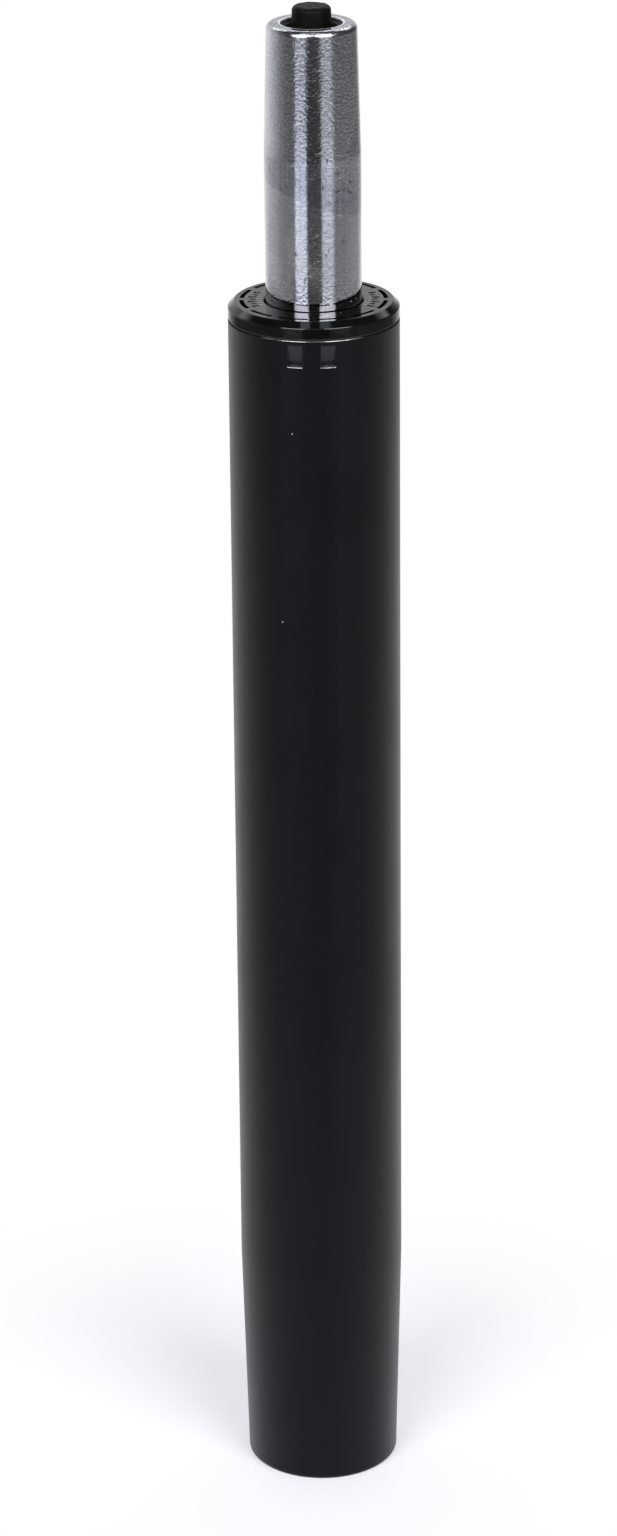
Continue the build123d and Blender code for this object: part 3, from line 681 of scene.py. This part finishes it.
# Painted highlight: a pale matt ring round the mouth stands in for the bright line its edge catches.
ZINC_MOUTH_HIGHLIGHT = (0.72, 0.72, 0.76, 1.0)
ZINC_MOUTH_HIGHLIGHT_ROUGHNESS = 0.35
ZINC_MOUTH_HIGHLIGHT_MATT_SHARE = 0.85
ZINC_MOUTH_HIGHLIGHT_REACH = (TUBE_MOUTH_RADIUS + 0.55 * MM, TUBE_MOUTH_RADIUS + 0.75 * MM)
ZINC_TOP_FACE = (TUBE_TOP_LEVEL - 0.4 * MM, TUBE_TOP_LEVEL - 0.1 * MM)
ZINC_ROLLED_EDGE = (TUBE_TOP_LEVEL - 1.9 * MM, TUBE_TOP_LEVEL - 1.0 * MM)
ZINC_ROLLED_ROUGHNESS = 0.09
ZINC_WIPED = (COLLAR_FACE_LEVEL + 3 * MM, COLLAR_FACE_LEVEL + 11 * MM)
ZINC_WIPED_SHARE = 0.25
ZINC_CONE_GRAIN = (TUBE_TOP_LEVEL - 50 * MM, TUBE_TOP_LEVEL - 18 * MM)
ZINC_GRAIN_SHARE = 0.28
FILM_COLOUR = (0.32, 0.34, 0.41, 1.0)
FILM_STRENGTH = 0.60
FILM_EDGE = TUBE_TOP_LEVEL - 50 * MM
FILM_TILT = 0.36
FILM_WOBBLE = 0.35 * MM
FILM_SOFTNESS = 0.2 * MM
FILM_FADE = (7 * MM, 14 * MM)
SCRAWL_PLACE = (9.5 * MM, -10.3 * MM, TUBE_TOP_LEVEL - 46 * MM)
SCRAWL_SIZE = 7.5 * MM
SCRAWL_LINE = (0.008, 0.022)


def powder_coat():
    """Satin black powder coat with a fine orange peel and dust specks.

    It has a painted highlight, a pale polished metallic strip on the rim's front edge and on the tabs'
    lips, and a painted reflection, the tabs' faces made paler, and it is dull along the rim everywhere
    but in front.
    """
    material = bpy.data.materials.new("satin_black_powder_coat")
    kit = Nodes(material)
    parts = kit.parts()
    cloud = kit.noise(35.0, 4.0)
    streak = kit.noise(1.0, vector=kit.stretched((300.0, 300.0, 9.0)))
    peel = kit.noise(950.0, 2.0)
    grain = kit.noise(4200.0, 2.0)
    turned_in = kit.range(kit.axis_distance(parts), *COAT_TURNED_IN, 1.0, 0.0)
    # Painted highlight: the rim's front edge and the tabs' lips are made bright, polished and metallic,
    # in front only.
    in_front = kit.range(parts["Y"], *COAT_FRONT)
    at_rim = kit.times(kit.range(parts["Z"], *COAT_RIM_HIGHLIGHT), in_front)
    from_lip = kit.math("ABSOLUTE", kit.minus(parts["Z"], COAT_LIP_LEVEL))
    at_lip = kit.range(from_lip, *COAT_LIP_HIGHLIGHT, 1.0, 0.0)
    painted_highlight = kit.times(turned_in, kit.larger(at_rim, at_lip))
    painted_highlight = kit.times(painted_highlight, kit.range(kit.noise(600.0), 0.35, 0.6, *COAT_HIGHLIGHT_SHARE))
    # Painted reflection: the tabs' faces are made paler for the floor they mirror.
    tab_painted_reflection = kit.times(turned_in, kit.range(parts["Z"], *COAT_TAB_LOW))
    tab_painted_reflection = kit.times(tab_painted_reflection, kit.range(parts["Z"], *COAT_TAB_HIGH, 1.0, 0.0))
    colour = kit.mix(kit.range(cloud, *MIDDLE), COAT_DARK, COAT_LIGHT)
    colour = kit.mix(kit.specks(70.0, 0.010, 0.016), colour, COAT_DUST)
    colour = kit.mix(tab_painted_reflection, colour, COAT_TAB_PAINTED_REFLECTION)
    colour = kit.mix(painted_highlight, colour, COAT_PAINTED_HIGHLIGHT)
    rough = kit.plus(kit.range(cloud, *BROAD, 0.36, 0.40), kit.range(streak, *BROAD, -0.02, 0.02))
    rough = kit.minus(rough, kit.times(painted_highlight, COAT_HIGHLIGHT_POLISH))
    seam = kit.range(parts["Z"], *COAT_RIM_SEAM, 0.0, COAT_SEAM_ROUGHNESS)
    rough = kit.plus(rough, kit.times(seam, kit.minus(1.0, in_front)))
    normal = kit.bump(grain, 0.10, 0.02 * MM, kit.bump(peel, 0.22, 0.05 * MM))
    links = {"Base Color": colour, "Metallic": painted_highlight, "Roughness": rough, "Normal": normal}
    gloss = {"IOR": 1.5, "Specular Tint": COAT_GLOSS_TINT, "Sheen Weight": 0.05, "Sheen Roughness": 0.25}
    kit.finish(links, gloss)
    return material


def moulded_plastic():
    """Glossy black moulded plastic with a faint flow pattern, dust, and a dull foot at the rim."""
    material = bpy.data.materials.new("black_moulded_plastic")
    kit = Nodes(material)
    flow = kit.noise(120.0, 4.0, distortion=0.6)
    fine = kit.noise(2600.0)
    colour = kit.mix(kit.range(flow, *MIDDLE), PLASTIC_DARK, PLASTIC_LIGHT)
    colour = kit.mix(kit.specks(170.0, 0.020, 0.032), colour, PLASTIC_DUST)
    seam = kit.range(kit.parts()["Z"], *PLASTIC_SEAM, PLASTIC_SEAM_ROUGHNESS, 0.0)
    rough = kit.plus(kit.range(flow, *BROAD, 0.04, 0.07), seam)
    normal = kit.bump(fine, 0.08, 0.03 * MM, kit.bump(flow, 0.20, 0.10 * MM))
    gloss = {"IOR": 1.5, "Specular Tint": PLASTIC_GLOSS_TINT}
    kit.finish({"Base Color": colour, "Roughness": rough, "Normal": normal}, gloss)
    return material


def oil_film(kit, parts):
    """1 in the oil film, from its slanted, wavy lower edge up to where it fades out."""
    tilted = kit.plus(parts["Z"], kit.times(parts["X"], FILM_TILT))
    wobble = kit.range(kit.noise(260.0), *BROAD, -FILM_WOBBLE, FILM_WOBBLE)
    above = kit.minus(kit.plus(tilted, wobble), FILM_EDGE)
    edge = kit.range(above, -FILM_SOFTNESS, FILM_SOFTNESS)
    return kit.times(edge, kit.range(above, *FILM_FADE, 1.0, 0.0))


def scuffs(kit):
    """Short upright scuffs in patches, and a scrawl in one place."""
    short = kit.noise(1.0, 2.0, vector=kit.stretched((1500.0, 1500.0, 260.0)))
    patches = kit.range(kit.noise(75.0, 2.0), 0.50, 0.58, 0.0, 0.55, smooth=True)
    scrawl = kit.math("ABSOLUTE", kit.minus(kit.noise(430.0, 1.0, distortion=1.2), 0.5))
    scrawl = kit.range(scrawl, *SCRAWL_LINE, 1.0, 0.0)
    scrawl = kit.times(scrawl, kit.near(SCRAWL_PLACE, SCRAWL_SIZE))
    return kit.larger(kit.times(kit.range(short, 0.62, 0.68), patches), scrawl)


def zinc_tube():
    """Bright zinc plating: sparkle on the cone, drawing lines, oil film, smudges and scratches.

    The lowest few millimetres above the collar are wiped smooth. A pale matt ring round the mouth is a
    painted highlight.
    """
    material = bpy.data.materials.new("zinc_plated_tube")
    kit = Nodes(material)
    parts = kit.parts()
    wiped = kit.range(parts["Z"], *ZINC_WIPED, ZINC_WIPED_SHARE, 1.0)
    cone = kit.range(parts["Z"], *ZINC_CONE_GRAIN, ZINC_GRAIN_SHARE, 1.0, smooth=True)
    smudge = kit.noise(55.0, distortion=0.6, vector=kit.stretched((1.0, 1.0, 0.5)))
    patch = kit.range(smudge, 0.44, 0.56, smooth=True)
    lines = kit.noise(1.0, 4.0, 0.6, vector=kit.stretched((1300.0, 1300.0, 10.0)))
    grain = kit.noise(1250.0, 2.0)
    fine = kit.noise(3400.0, 2.0)
    polish = kit.noise(1.0, 2.0, 0.7, vector=kit.stretched((140.0, 140.0, 5600.0)))
    polish = kit.times(polish, wiped)
    slanted = kit.stretched((300.0, 300.0, 1500.0), Rotation=(0.5, 0.9, 0.0))
    scratch = kit.range(kit.noise(1.0, 2.0, vector=slanted, distortion=0.4), 0.69, 0.72)
    strokes = scuffs(kit)
    top_face = kit.range(parts["Z"], *ZINC_TOP_FACE)
    pitted = kit.range(kit.noise(2100.0, 2.0, 0.6), 0.40, 0.60)
    # Painted highlight: the ring round the mouth is pale, rougher and mostly not metallic.
    mouth_highlight = kit.times(kit.range(kit.axis_distance(parts), *ZINC_MOUTH_HIGHLIGHT_REACH, 1.0, 0.0), top_face)

    colour = kit.mix(patch, ZINC_DARK, ZINC_LIGHT)
    colour = kit.mix(kit.times(oil_film(kit, parts), FILM_STRENGTH), colour, FILM_COLOUR)
    colour = kit.mix(kit.range(lines, *MIDDLE, 0.0, 0.35), colour, ZINC_LINES)
    colour = kit.mix(kit.times(kit.range(grain, 0.42, 0.58, 0.0, 0.24), cone), colour, ZINC_DULL)
    colour = kit.mix(kit.range(fine, *MIDDLE, 0.0, 0.14), colour, ZINC_FINE)
    colour = kit.mix(strokes, colour, ZINC_SCUFF)
    colour = kit.mix(kit.times(top_face, pitted), colour, ZINC_PIT)
    colour = kit.mix(mouth_highlight, colour, ZINC_MOUTH_HIGHLIGHT)

    rough = kit.plus(kit.range(patch, 0.0, 1.0, 0.09, 0.12), kit.range(grain, *BROAD, -0.03, 0.03))
    rough = kit.plus(rough, kit.times(mouth_highlight, ZINC_MOUTH_HIGHLIGHT_ROUGHNESS))
    rough = kit.plus(rough, kit.range(parts["Z"], *ZINC_ROLLED_EDGE, 0.0, ZINC_ROLLED_ROUGHNESS))
    rough = kit.times(rough, wiped)

    normal = kit.bump(kit.times(grain, cone), 1.0, 0.065 * MM)
    normal = kit.bump(polish, 0.60, 0.015 * MM, normal)
    normal = kit.bump(lines, 0.15, 0.02 * MM, normal)
    normal = kit.bump(scratch, 0.30, 0.03 * MM, normal)
    normal = kit.bump(fine, 0.20, 0.02 * MM, normal)
    normal = kit.bump(strokes, 0.40, 0.03 * MM, normal)
    metal_share = kit.minus(1.0, kit.times(mouth_highlight, ZINC_MOUTH_HIGHLIGHT_MATT_SHARE))
    kit.finish({"Base Color": colour, "Metallic": metal_share, "Roughness": rough, "Normal": normal}, {})
    return material


def button_plastic():
    """Matt black plastic with an uneven moulded top."""
    material = bpy.data.materials.new("matt_black_button")
    kit = Nodes(material)
    lump = kit.noise(420.0, 4.0, 0.6)
    fine = kit.noise(3800.0)
    colour = kit.mix(kit.range(lump, *MIDDLE), grey(0.0003), grey(0.0018))
    rough = kit.range(lump, *BROAD, 0.46, 0.60)
    normal = kit.bump(fine, 0.25, 0.03 * MM, kit.bump(lump, 0.35, 0.12 * MM))
    gloss = {"IOR": 1.45, "Specular IOR Level": 0.12}
    kit.finish({"Base Color": colour, "Roughness": rough, "Normal": normal}, gloss)
    return material


# Inner pieces by slot: material name, dark and light colour, roughness, grain scale and strength
METALS = {
    "chromed_rod": ("chromed_rod", grey(0.60, 0.02), grey(0.66, 0.02), 0.10, 1800.0, 0.08),
    "plated_steel": ("plated_steel", (0.50, 0.50, 0.46, 1), (0.60, 0.60, 0.55, 1), 0.30, 1500.0, 0.30),
    "bearing_steel": ("bearing_steel", grey(0.52, 0.02), grey(0.60, 0.02), 0.16, 2600.0, 0.10),
    "spring_steel": ("spring_steel", grey(0.12, 0.05), grey(0.18, 0.05), 0.34, 1900.0, 0.25),
    "liner_steel": ("liner_steel", grey(0.42, 0.02), grey(0.50, 0.02), 0.22, 2400.0, 0.15),
    "valve_brass": ("valve_brass", (0.58, 0.42, 0.18, 1), (0.66, 0.50, 0.24, 1), 0.24, 2200.0, 0.15),
}
MOULDINGS = {
    "cage_plastic": ("natural_nylon", (0.62, 0.59, 0.50, 1), (0.70, 0.67, 0.58, 1), 0.40, 1600.0, 0.20),
    "guide_plastic": ("natural_acetal", (0.66, 0.66, 0.64, 1), (0.74, 0.74, 0.72, 1), 0.32, 1700.0, 0.15),
    "valve_plastic": ("dark_glass_filled_nylon", grey(0.012), grey(0.022), 0.42, 2100.0, 0.30),
    "bump_rubber": ("bump_rubber", grey(0.012), grey(0.020), 0.60, 1300.0, 0.40),
    "seal_rubber": ("seal_rubber", grey(0.008), grey(0.014), 0.45, 1900.0, 0.20),
}


def metal(name, low, high, rough, grain_scale, grain_strength):
    """A plain machined or plated metal with grain and slight colour change."""
    material = bpy.data.materials.new(name)
    kit = Nodes(material)
    cloud = kit.noise(90.0, 4.0, distortion=0.5)
    grain = kit.noise(grain_scale, 3.0, 0.6)
    colour = kit.mix(kit.range(cloud, *MIDDLE), low, high)
    roughness = kit.range(cloud, *BROAD, rough, rough + 0.08)
    roughness = kit.plus(roughness, kit.range(grain, *BROAD, -0.03, 0.03))
    normal = kit.bump(grain, grain_strength, 0.03 * MM)
    kit.finish({"Base Color": colour, "Roughness": roughness, "Normal": normal}, {"Metallic": 1.0})
    return material


def moulded(name, low, high, rough, grain_scale, grain_strength):
    """A plain moulded plastic or rubber with a fine surface."""
    material = bpy.data.materials.new(name)
    kit = Nodes(material)
    cloud = kit.noise(110.0, 4.0)
    grain = kit.noise(grain_scale, 3.0, 0.6)
    colour = kit.mix(kit.range(cloud, *MIDDLE), low, high)
    roughness = kit.range(cloud, *BROAD, rough, rough + 0.10)
    normal = kit.bump(grain, grain_strength, 0.04 * MM)
    kit.finish({"Base Color": colour, "Roughness": roughness, "Normal": normal}, {"IOR": 1.5})
    return material


def slot_materials():
    """One material for each slot of the record."""
    materials = {
        "black_powder_coat": powder_coat(),
        "black_moulded_plastic": moulded_plastic(),
        "zinc_plated_tube": zinc_tube(),
        "button_plastic": button_plastic(),
    }
    for make, table in ((metal, METALS), (moulded, MOULDINGS)):
        for slot_name, values in table.items():
            materials[slot_name] = make(*values)
    return materials


def dress_cad_nodes(materials, record):
    """Gives every carried-over CAD node the material of its slot."""
    for entry in record["subparts"]:
        node = frame["nodes"][entry["node"]]
        node.data.materials.clear()
        node.data.materials.append(materials[entry["material_slot"]])


# Studio: floor, world, lamp and camera

FLOOR_RADIUS = 0.46
FLOOR_RINGS = 24
FLOOR_SIDES = 96
# Painted shadow: the floor is matt and bluish round the shade place, behind and left of the foot, on top
# of the lamps' real shadows, and pure white beyond.
FLOOR_WHITE = (0.02, 0.165)
FLOOR_NEAR_WHITE = 0.35
FLOOR_SHADE_COLOUR = (0.83, 0.82, 0.91, 1.0)
FLOOR_SHADE_PLACE = (-14.0 * MM, 32.0 * MM)
WHITE = (1.0, 1.0, 1.0, 1.0)

LAMP_PLACE = (0.0, -0.15, 1.45)
LAMP_WIDTH = 1.5
LAMP_HEIGHT = 1.1
LAMP_RADIANCE = 0.25

# The studio as the object mirrors it: (from, to) in degrees of azimuth, plus to the right, or of rise
FRONT_LEVEL = 0.04
FRONT_LOW_LEVEL = 0.15
FRONT_LOW_RISE = (-12.5, -15.0)
SIDE_LEVEL = 0.13
SIDE_LOW_LEVEL = 0.29
SIDE_LOW_RISE = (-11.5, -15.5)
SIDE_HIGH_LEVEL = 0.05
SIDE_HIGH_RISE = (-6.0, 4.0)
SIDE_TURN = (8.0, 60.0)
BACK_LEVEL = 1.0
BACK_HIGH_LEVEL = 0.78
BACK_HIGH_RISE = (2.0, 12.0)
BACK_LOW_SHARE = 0.78
BACK_LOW_RISE = (-12.0, -16.0)
BACK_LEFT_TURN = (-60.0, -145.0)
BACK_RIGHT_TURN = (138.0, 174.0)
ABOVE_LEVEL = 0.04
ABOVE_RISE = (20.0, 42.0)
TABLE_EDGE = -15.2
TABLE_EDGE_SOFTNESS = 0.1
TABLE_TURN = (10.0, 60.0)
TABLE_BAND_END = -15.8
TABLE_BAND_SOFTNESS = 0.20
TABLE_BAND_FRONT = 0.17
TABLE_BAND_SIDE = 0.86
TABLE_FAR_FRONT = 0.04
TABLE_FAR_SIDE = 0.14
TABLE_NEAR_LEVEL = 1.3
TABLE_NEAR_RISE = (-18.0, -22.5)
TABLE_BEHIND_LEVEL = 1.1
TABLE_BEHIND_RISE = (-17.0, -18.0)
TABLE_BEHIND_FAR = (128.0, 165.0, 0.0, 0.9)
TABLE_BEHIND_NEAR = (80.0, 125.0, 0.0, 1.2)

# Lights of the studio: (start, end, softness at the start, softness at the end)
LEFT_CARD = (-42.6, -15.0, 0.8, 0.8)
LEFT_CARD_COLOUR = (1.58, 1.66, 1.80, 1.0)
RIGHT_CARD = (21.0, 50.0, 1.5, 5.0)
RIGHT_CARD_COLOUR = (1.22, 1.28, 1.34, 1.0)
CARD_LOW = -16.15
CARD_LOW_SOFTNESS = 0.1
CARD_FADE = (-10.7, -13.2, 0.08, 1.0)
CARD_UPPER_FADE = (-7.0, 3.0, 0.0, 0.8)
LEFT_BOX = (-46.0, -12.5, 2.0, 2.0)
RIGHT_BOX = (14.5, 52.0, 2.0, 4.0)
BOX_RISE = (18.7, 38.0, 4.0, 3.0)
BOX_LEVEL = 12.5
BOX_SKIRT_RISE = (9.0, 38.0, 3.0, 3.0)
BOX_SKIRT = 0.20
FILL_ACROSS = (-20.0, 22.0, 3.0, 3.0)
FILL_RISE = (25.0, 52.0, 4.0, 6.0)
FILL_LEVEL = 1.1
HAIR_LIGHT_RISE = (28.0, 56.0, 3.0, 3.0)
HAIR_LIGHT_TURN = (116.0, 132.0)
HAIR_LIGHT_LEVEL = 1.7


def floor_mesh():
    """A flat disc of rings, so that it is fine enough for its shading."""
    vertices = [(0.0, 0.0, 0.0)]
    faces = []
    for ring in range(1, FLOOR_RINGS + 1):
        reach = FLOOR_RADIUS * ring / FLOOR_RINGS
        for number in range(FLOOR_SIDES):
            angle = 2 * pi * number / FLOOR_SIDES
            vertices.append((reach * cos(angle), reach * sin(angle), 0.0))
    for number in range(FLOOR_SIDES):
        other = (number + 1) % FLOOR_SIDES
        faces.append((0, 1 + number, 1 + other))
        for ring in range(FLOOR_RINGS - 1):
            inner = 1 + ring * FLOOR_SIDES
            outer = inner + FLOOR_SIDES
            faces.append((inner + number, outer + number, outer + other, inner + other))
    mesh = bpy.data.meshes.new("studio_floor")
    mesh.from_pydata(vertices, [], faces)
    return mesh


def floor_material():
    """Matt and bluish by the column, and pure white away from it: a painted shadow round a spot behind
    and left of the foot, over the real cast shadows.
    """
    material = bpy.data.materials.new("studio_floor")
    kit = Nodes(material)
    shift = (-FLOOR_SHADE_PLACE[0], -FLOOR_SHADE_PLACE[1], 0.0)
    spot = kit.add("ShaderNodeMapping", {"Vector": kit.place()}, {"Location": shift}).outputs["Vector"]
    reach = kit.add("ShaderNodeVectorMath", {"Vector": spot}, operation="LENGTH").outputs["Value"]
    # Painted shadow: the matt share grows towards the shade place.
    far = kit.range(reach, *FLOOR_WHITE, FLOOR_NEAR_WHITE, 1.0, smooth=True)
    path = kit.add("ShaderNodeLightPath")
    seen = kit.larger(path.outputs["Is Camera Ray"], path.outputs["Is Glossy Ray"])
    seen = kit.larger(seen, path.outputs["Is Transmission Ray"])
    matt = kit.add("ShaderNodeBsdfDiffuse", inputs={"Color": FLOOR_SHADE_COLOUR}).outputs["BSDF"]
    white = kit.add("ShaderNodeEmission", inputs={"Color": WHITE, "Strength": 1.0}).outputs["Emission"]
    blend = kit.add("ShaderNodeMixShader", {0: kit.times(far, seen), 1: matt, 2: white})
    kit.add("ShaderNodeOutputMaterial", {"Surface": blend.outputs["Shader"]})
    return material


def build_floor():
    mesh = floor_mesh()
    mesh.materials.append(floor_material())
    floor = bpy.data.objects.new("studio_floor", mesh)
    bpy.context.scene.collection.objects.link(floor)


def room_shade(kit, rise, azimuth, aside):
    """The dim room in front and beside, the white backdrop behind, and the dark above."""
    left = kit.range(azimuth, *BACK_LEFT_TURN, smooth=True)
    right = kit.range(azimuth, *BACK_RIGHT_TURN, smooth=True)
    back = kit.times(kit.larger(left, right), kit.range(rise, *BACK_LOW_RISE, 1.0, BACK_LOW_SHARE))
    front = kit.range(rise, *FRONT_LOW_RISE, FRONT_LEVEL, FRONT_LOW_LEVEL)
    side = kit.range(rise, *SIDE_LOW_RISE, SIDE_LEVEL, SIDE_LOW_LEVEL)
    side = kit.mix(kit.range(rise, *SIDE_HIGH_RISE), side, grey(SIDE_HIGH_LEVEL))
    shade = kit.mix(kit.range(aside, *SIDE_TURN, smooth=True), front, side)
    shade = kit.mix(back, shade, kit.range(rise, *BACK_HIGH_RISE, BACK_LEVEL, BACK_HIGH_LEVEL))
    return kit.mix(kit.range(rise, *ABOVE_RISE, smooth=True), shade, grey(ABOVE_LEVEL))


def table_shade(kit, rise, aside):
    """The table: a pale band at its far edge, shade before it, and white near the object and behind."""
    sideways = kit.range(aside, *TABLE_TURN)
    band = kit.mix(sideways, grey(TABLE_BAND_FRONT), grey(TABLE_BAND_SIDE))
    far = kit.mix(sideways, grey(TABLE_FAR_FRONT), grey(TABLE_FAR_SIDE))
    shade = kit.mix(kit.below(rise, TABLE_BAND_END, TABLE_BAND_SOFTNESS), band, far)
    shade = kit.mix(kit.range(rise, *TABLE_NEAR_RISE, smooth=True), shade, grey(TABLE_NEAR_LEVEL))
    behind_far = kit.range(aside, *TABLE_BEHIND_FAR)
    behind_near = kit.range(aside, *TABLE_BEHIND_NEAR)
    behind = kit.mix(kit.range(rise, *TABLE_BEHIND_RISE), behind_far, behind_near)
    return kit.mix(kit.math("MINIMUM", behind, 1.0), shade, grey(TABLE_BEHIND_LEVEL))


def world_lights(kit, rise, azimuth, aside):
    """(mask, colour) of the lit cards, the dim fill, the soft boxes and the hair light, in turn."""
    card_rise = kit.range(rise, *CARD_FADE, smooth=True)
    above_foot = kit.range(rise, CARD_LOW - CARD_LOW_SOFTNESS, CARD_LOW + CARD_LOW_SOFTNESS)
    card_rise = kit.times(card_rise, above_foot)
    card_rise = kit.larger(card_rise, kit.range(rise, *CARD_UPPER_FADE, smooth=True))
    box_skirt = kit.times(kit.span(rise, *BOX_SKIRT_RISE), BOX_SKIRT)
    box_rise = kit.larger(kit.span(rise, *BOX_RISE), box_skirt)
    hair_turn = kit.range(aside, *HAIR_LIGHT_TURN, smooth=True)
    return [
        (kit.times(kit.span(azimuth, *LEFT_CARD), card_rise), LEFT_CARD_COLOUR),
        (kit.times(kit.span(azimuth, *RIGHT_CARD), card_rise), RIGHT_CARD_COLOUR),
        (kit.times(kit.span(azimuth, *FILL_ACROSS), kit.span(rise, *FILL_RISE)), grey(FILL_LEVEL)),
        (kit.times(kit.span(azimuth, *LEFT_BOX), box_rise), grey(BOX_LEVEL)),
        (kit.times(kit.span(azimuth, *RIGHT_BOX), box_rise), grey(BOX_LEVEL)),
        (kit.times(kit.span(rise, *HAIR_LIGHT_RISE), hair_turn), grey(HAIR_LIGHT_LEVEL)),
    ]


def build_world():
    """The studio round the object, which the camera itself sees as pure white."""
    world = bpy.data.worlds.new("studio")
    bpy.context.scene.world = world
    kit = Nodes(world)
    generated = kit.add("ShaderNodeTexCoord").outputs["Generated"]
    way = kit.add("ShaderNodeSeparateXYZ", {"Vector": generated}).outputs
    rise = kit.times(kit.math("ARCSINE", way["Z"]), degrees(1.0))
    turn = kit.times(kit.math("ARCTAN2", way["X"], kit.times(way["Y"], -1.0)), degrees(1.0))
    azimuth = kit.minus(turn, degrees(FRONT_TURN))
    aside = kit.math("ABSOLUTE", azimuth)
    shade = room_shade(kit, rise, azimuth, aside)
    on_table = kit.below(rise, TABLE_EDGE, TABLE_EDGE_SOFTNESS)
    shade = kit.mix(on_table, shade, table_shade(kit, rise, aside))
    for mask, colour in world_lights(kit, rise, azimuth, aside):
        shade = kit.mix(mask, shade, colour)
    path = kit.add("ShaderNodeLightPath").outputs
    seen = kit.larger(path["Is Camera Ray"], path["Is Transmission Ray"])
    shade = kit.mix(seen, shade, WHITE)
    background = kit.add("ShaderNodeBackground", {"Color": shade}, {"Strength": 1.0})
    kit.add("ShaderNodeOutputWorld", {"Surface": background.outputs["Background"]})


def build_lamp():
    """A weak soft box above, which lights the floor and the top but isn't mirrored."""
    lamp = bpy.data.lights.new("soft_box_above", "AREA")
    lamp.shape = "RECTANGLE"
    lamp.size = LAMP_WIDTH
    lamp.size_y = LAMP_HEIGHT
    lamp.energy = LAMP_RADIANCE * pi * LAMP_WIDTH * LAMP_HEIGHT
    holder = bpy.data.objects.new("soft_box_above", lamp)
    bpy.context.scene.collection.objects.link(holder)
    holder.location = LAMP_PLACE
    holder.rotation_euler = (-Vector(LAMP_PLACE)).to_track_quat("-Z", "Y").to_euler()
    holder.visible_glossy = False


def build_camera():
    """Camera at the photograph's distance, height, turn and roll."""
    data = bpy.data.cameras.new("photo_camera")
    data.sensor_fit = "VERTICAL"
    data.sensor_height = SENSOR_MM
    data.lens = SENSOR_MM * FOCAL_PIXELS / PHOTO_HEIGHT
    data.clip_start, data.clip_end = CAMERA_CLIP
    camera = bpy.data.objects.new("photo_camera", data)
    bpy.context.scene.collection.objects.link(camera)
    forward = Vector((0.0, cos(CAMERA_ELEVATION), -sin(CAMERA_ELEVATION)))
    right = Vector((1.0, 0.0, 0.0))
    up = right.cross(forward)
    roll_right = right * cos(CAMERA_ROLL) + up * sin(CAMERA_ROLL)
    roll_up = up * cos(CAMERA_ROLL) - right * sin(CAMERA_ROLL)
    place = Vector((CAMERA_SIDE, 0.0, CAMERA_AIM_HEIGHT)) - forward * CAMERA_DISTANCE
    axes = Matrix((roll_right, roll_up, -forward)).transposed().to_4x4()
    camera.matrix_world = Matrix.Rotation(FRONT_TURN, 4, "Z") @ Matrix.Translation(place) @ axes
    bpy.context.scene.camera = camera


materials = slot_materials()
dress_cad_nodes(materials, frame["record"])
build_column_tube(materials["black_powder_coat"])
build_guide_bush(materials["black_moulded_plastic"])
build_pressure_tube(materials["zinc_plated_tube"])
build_release_button(materials["button_plastic"])
build_floor()
build_world()
build_lamp()
build_camera()
bpy.context.scene.view_settings.view_transform = "Standard"
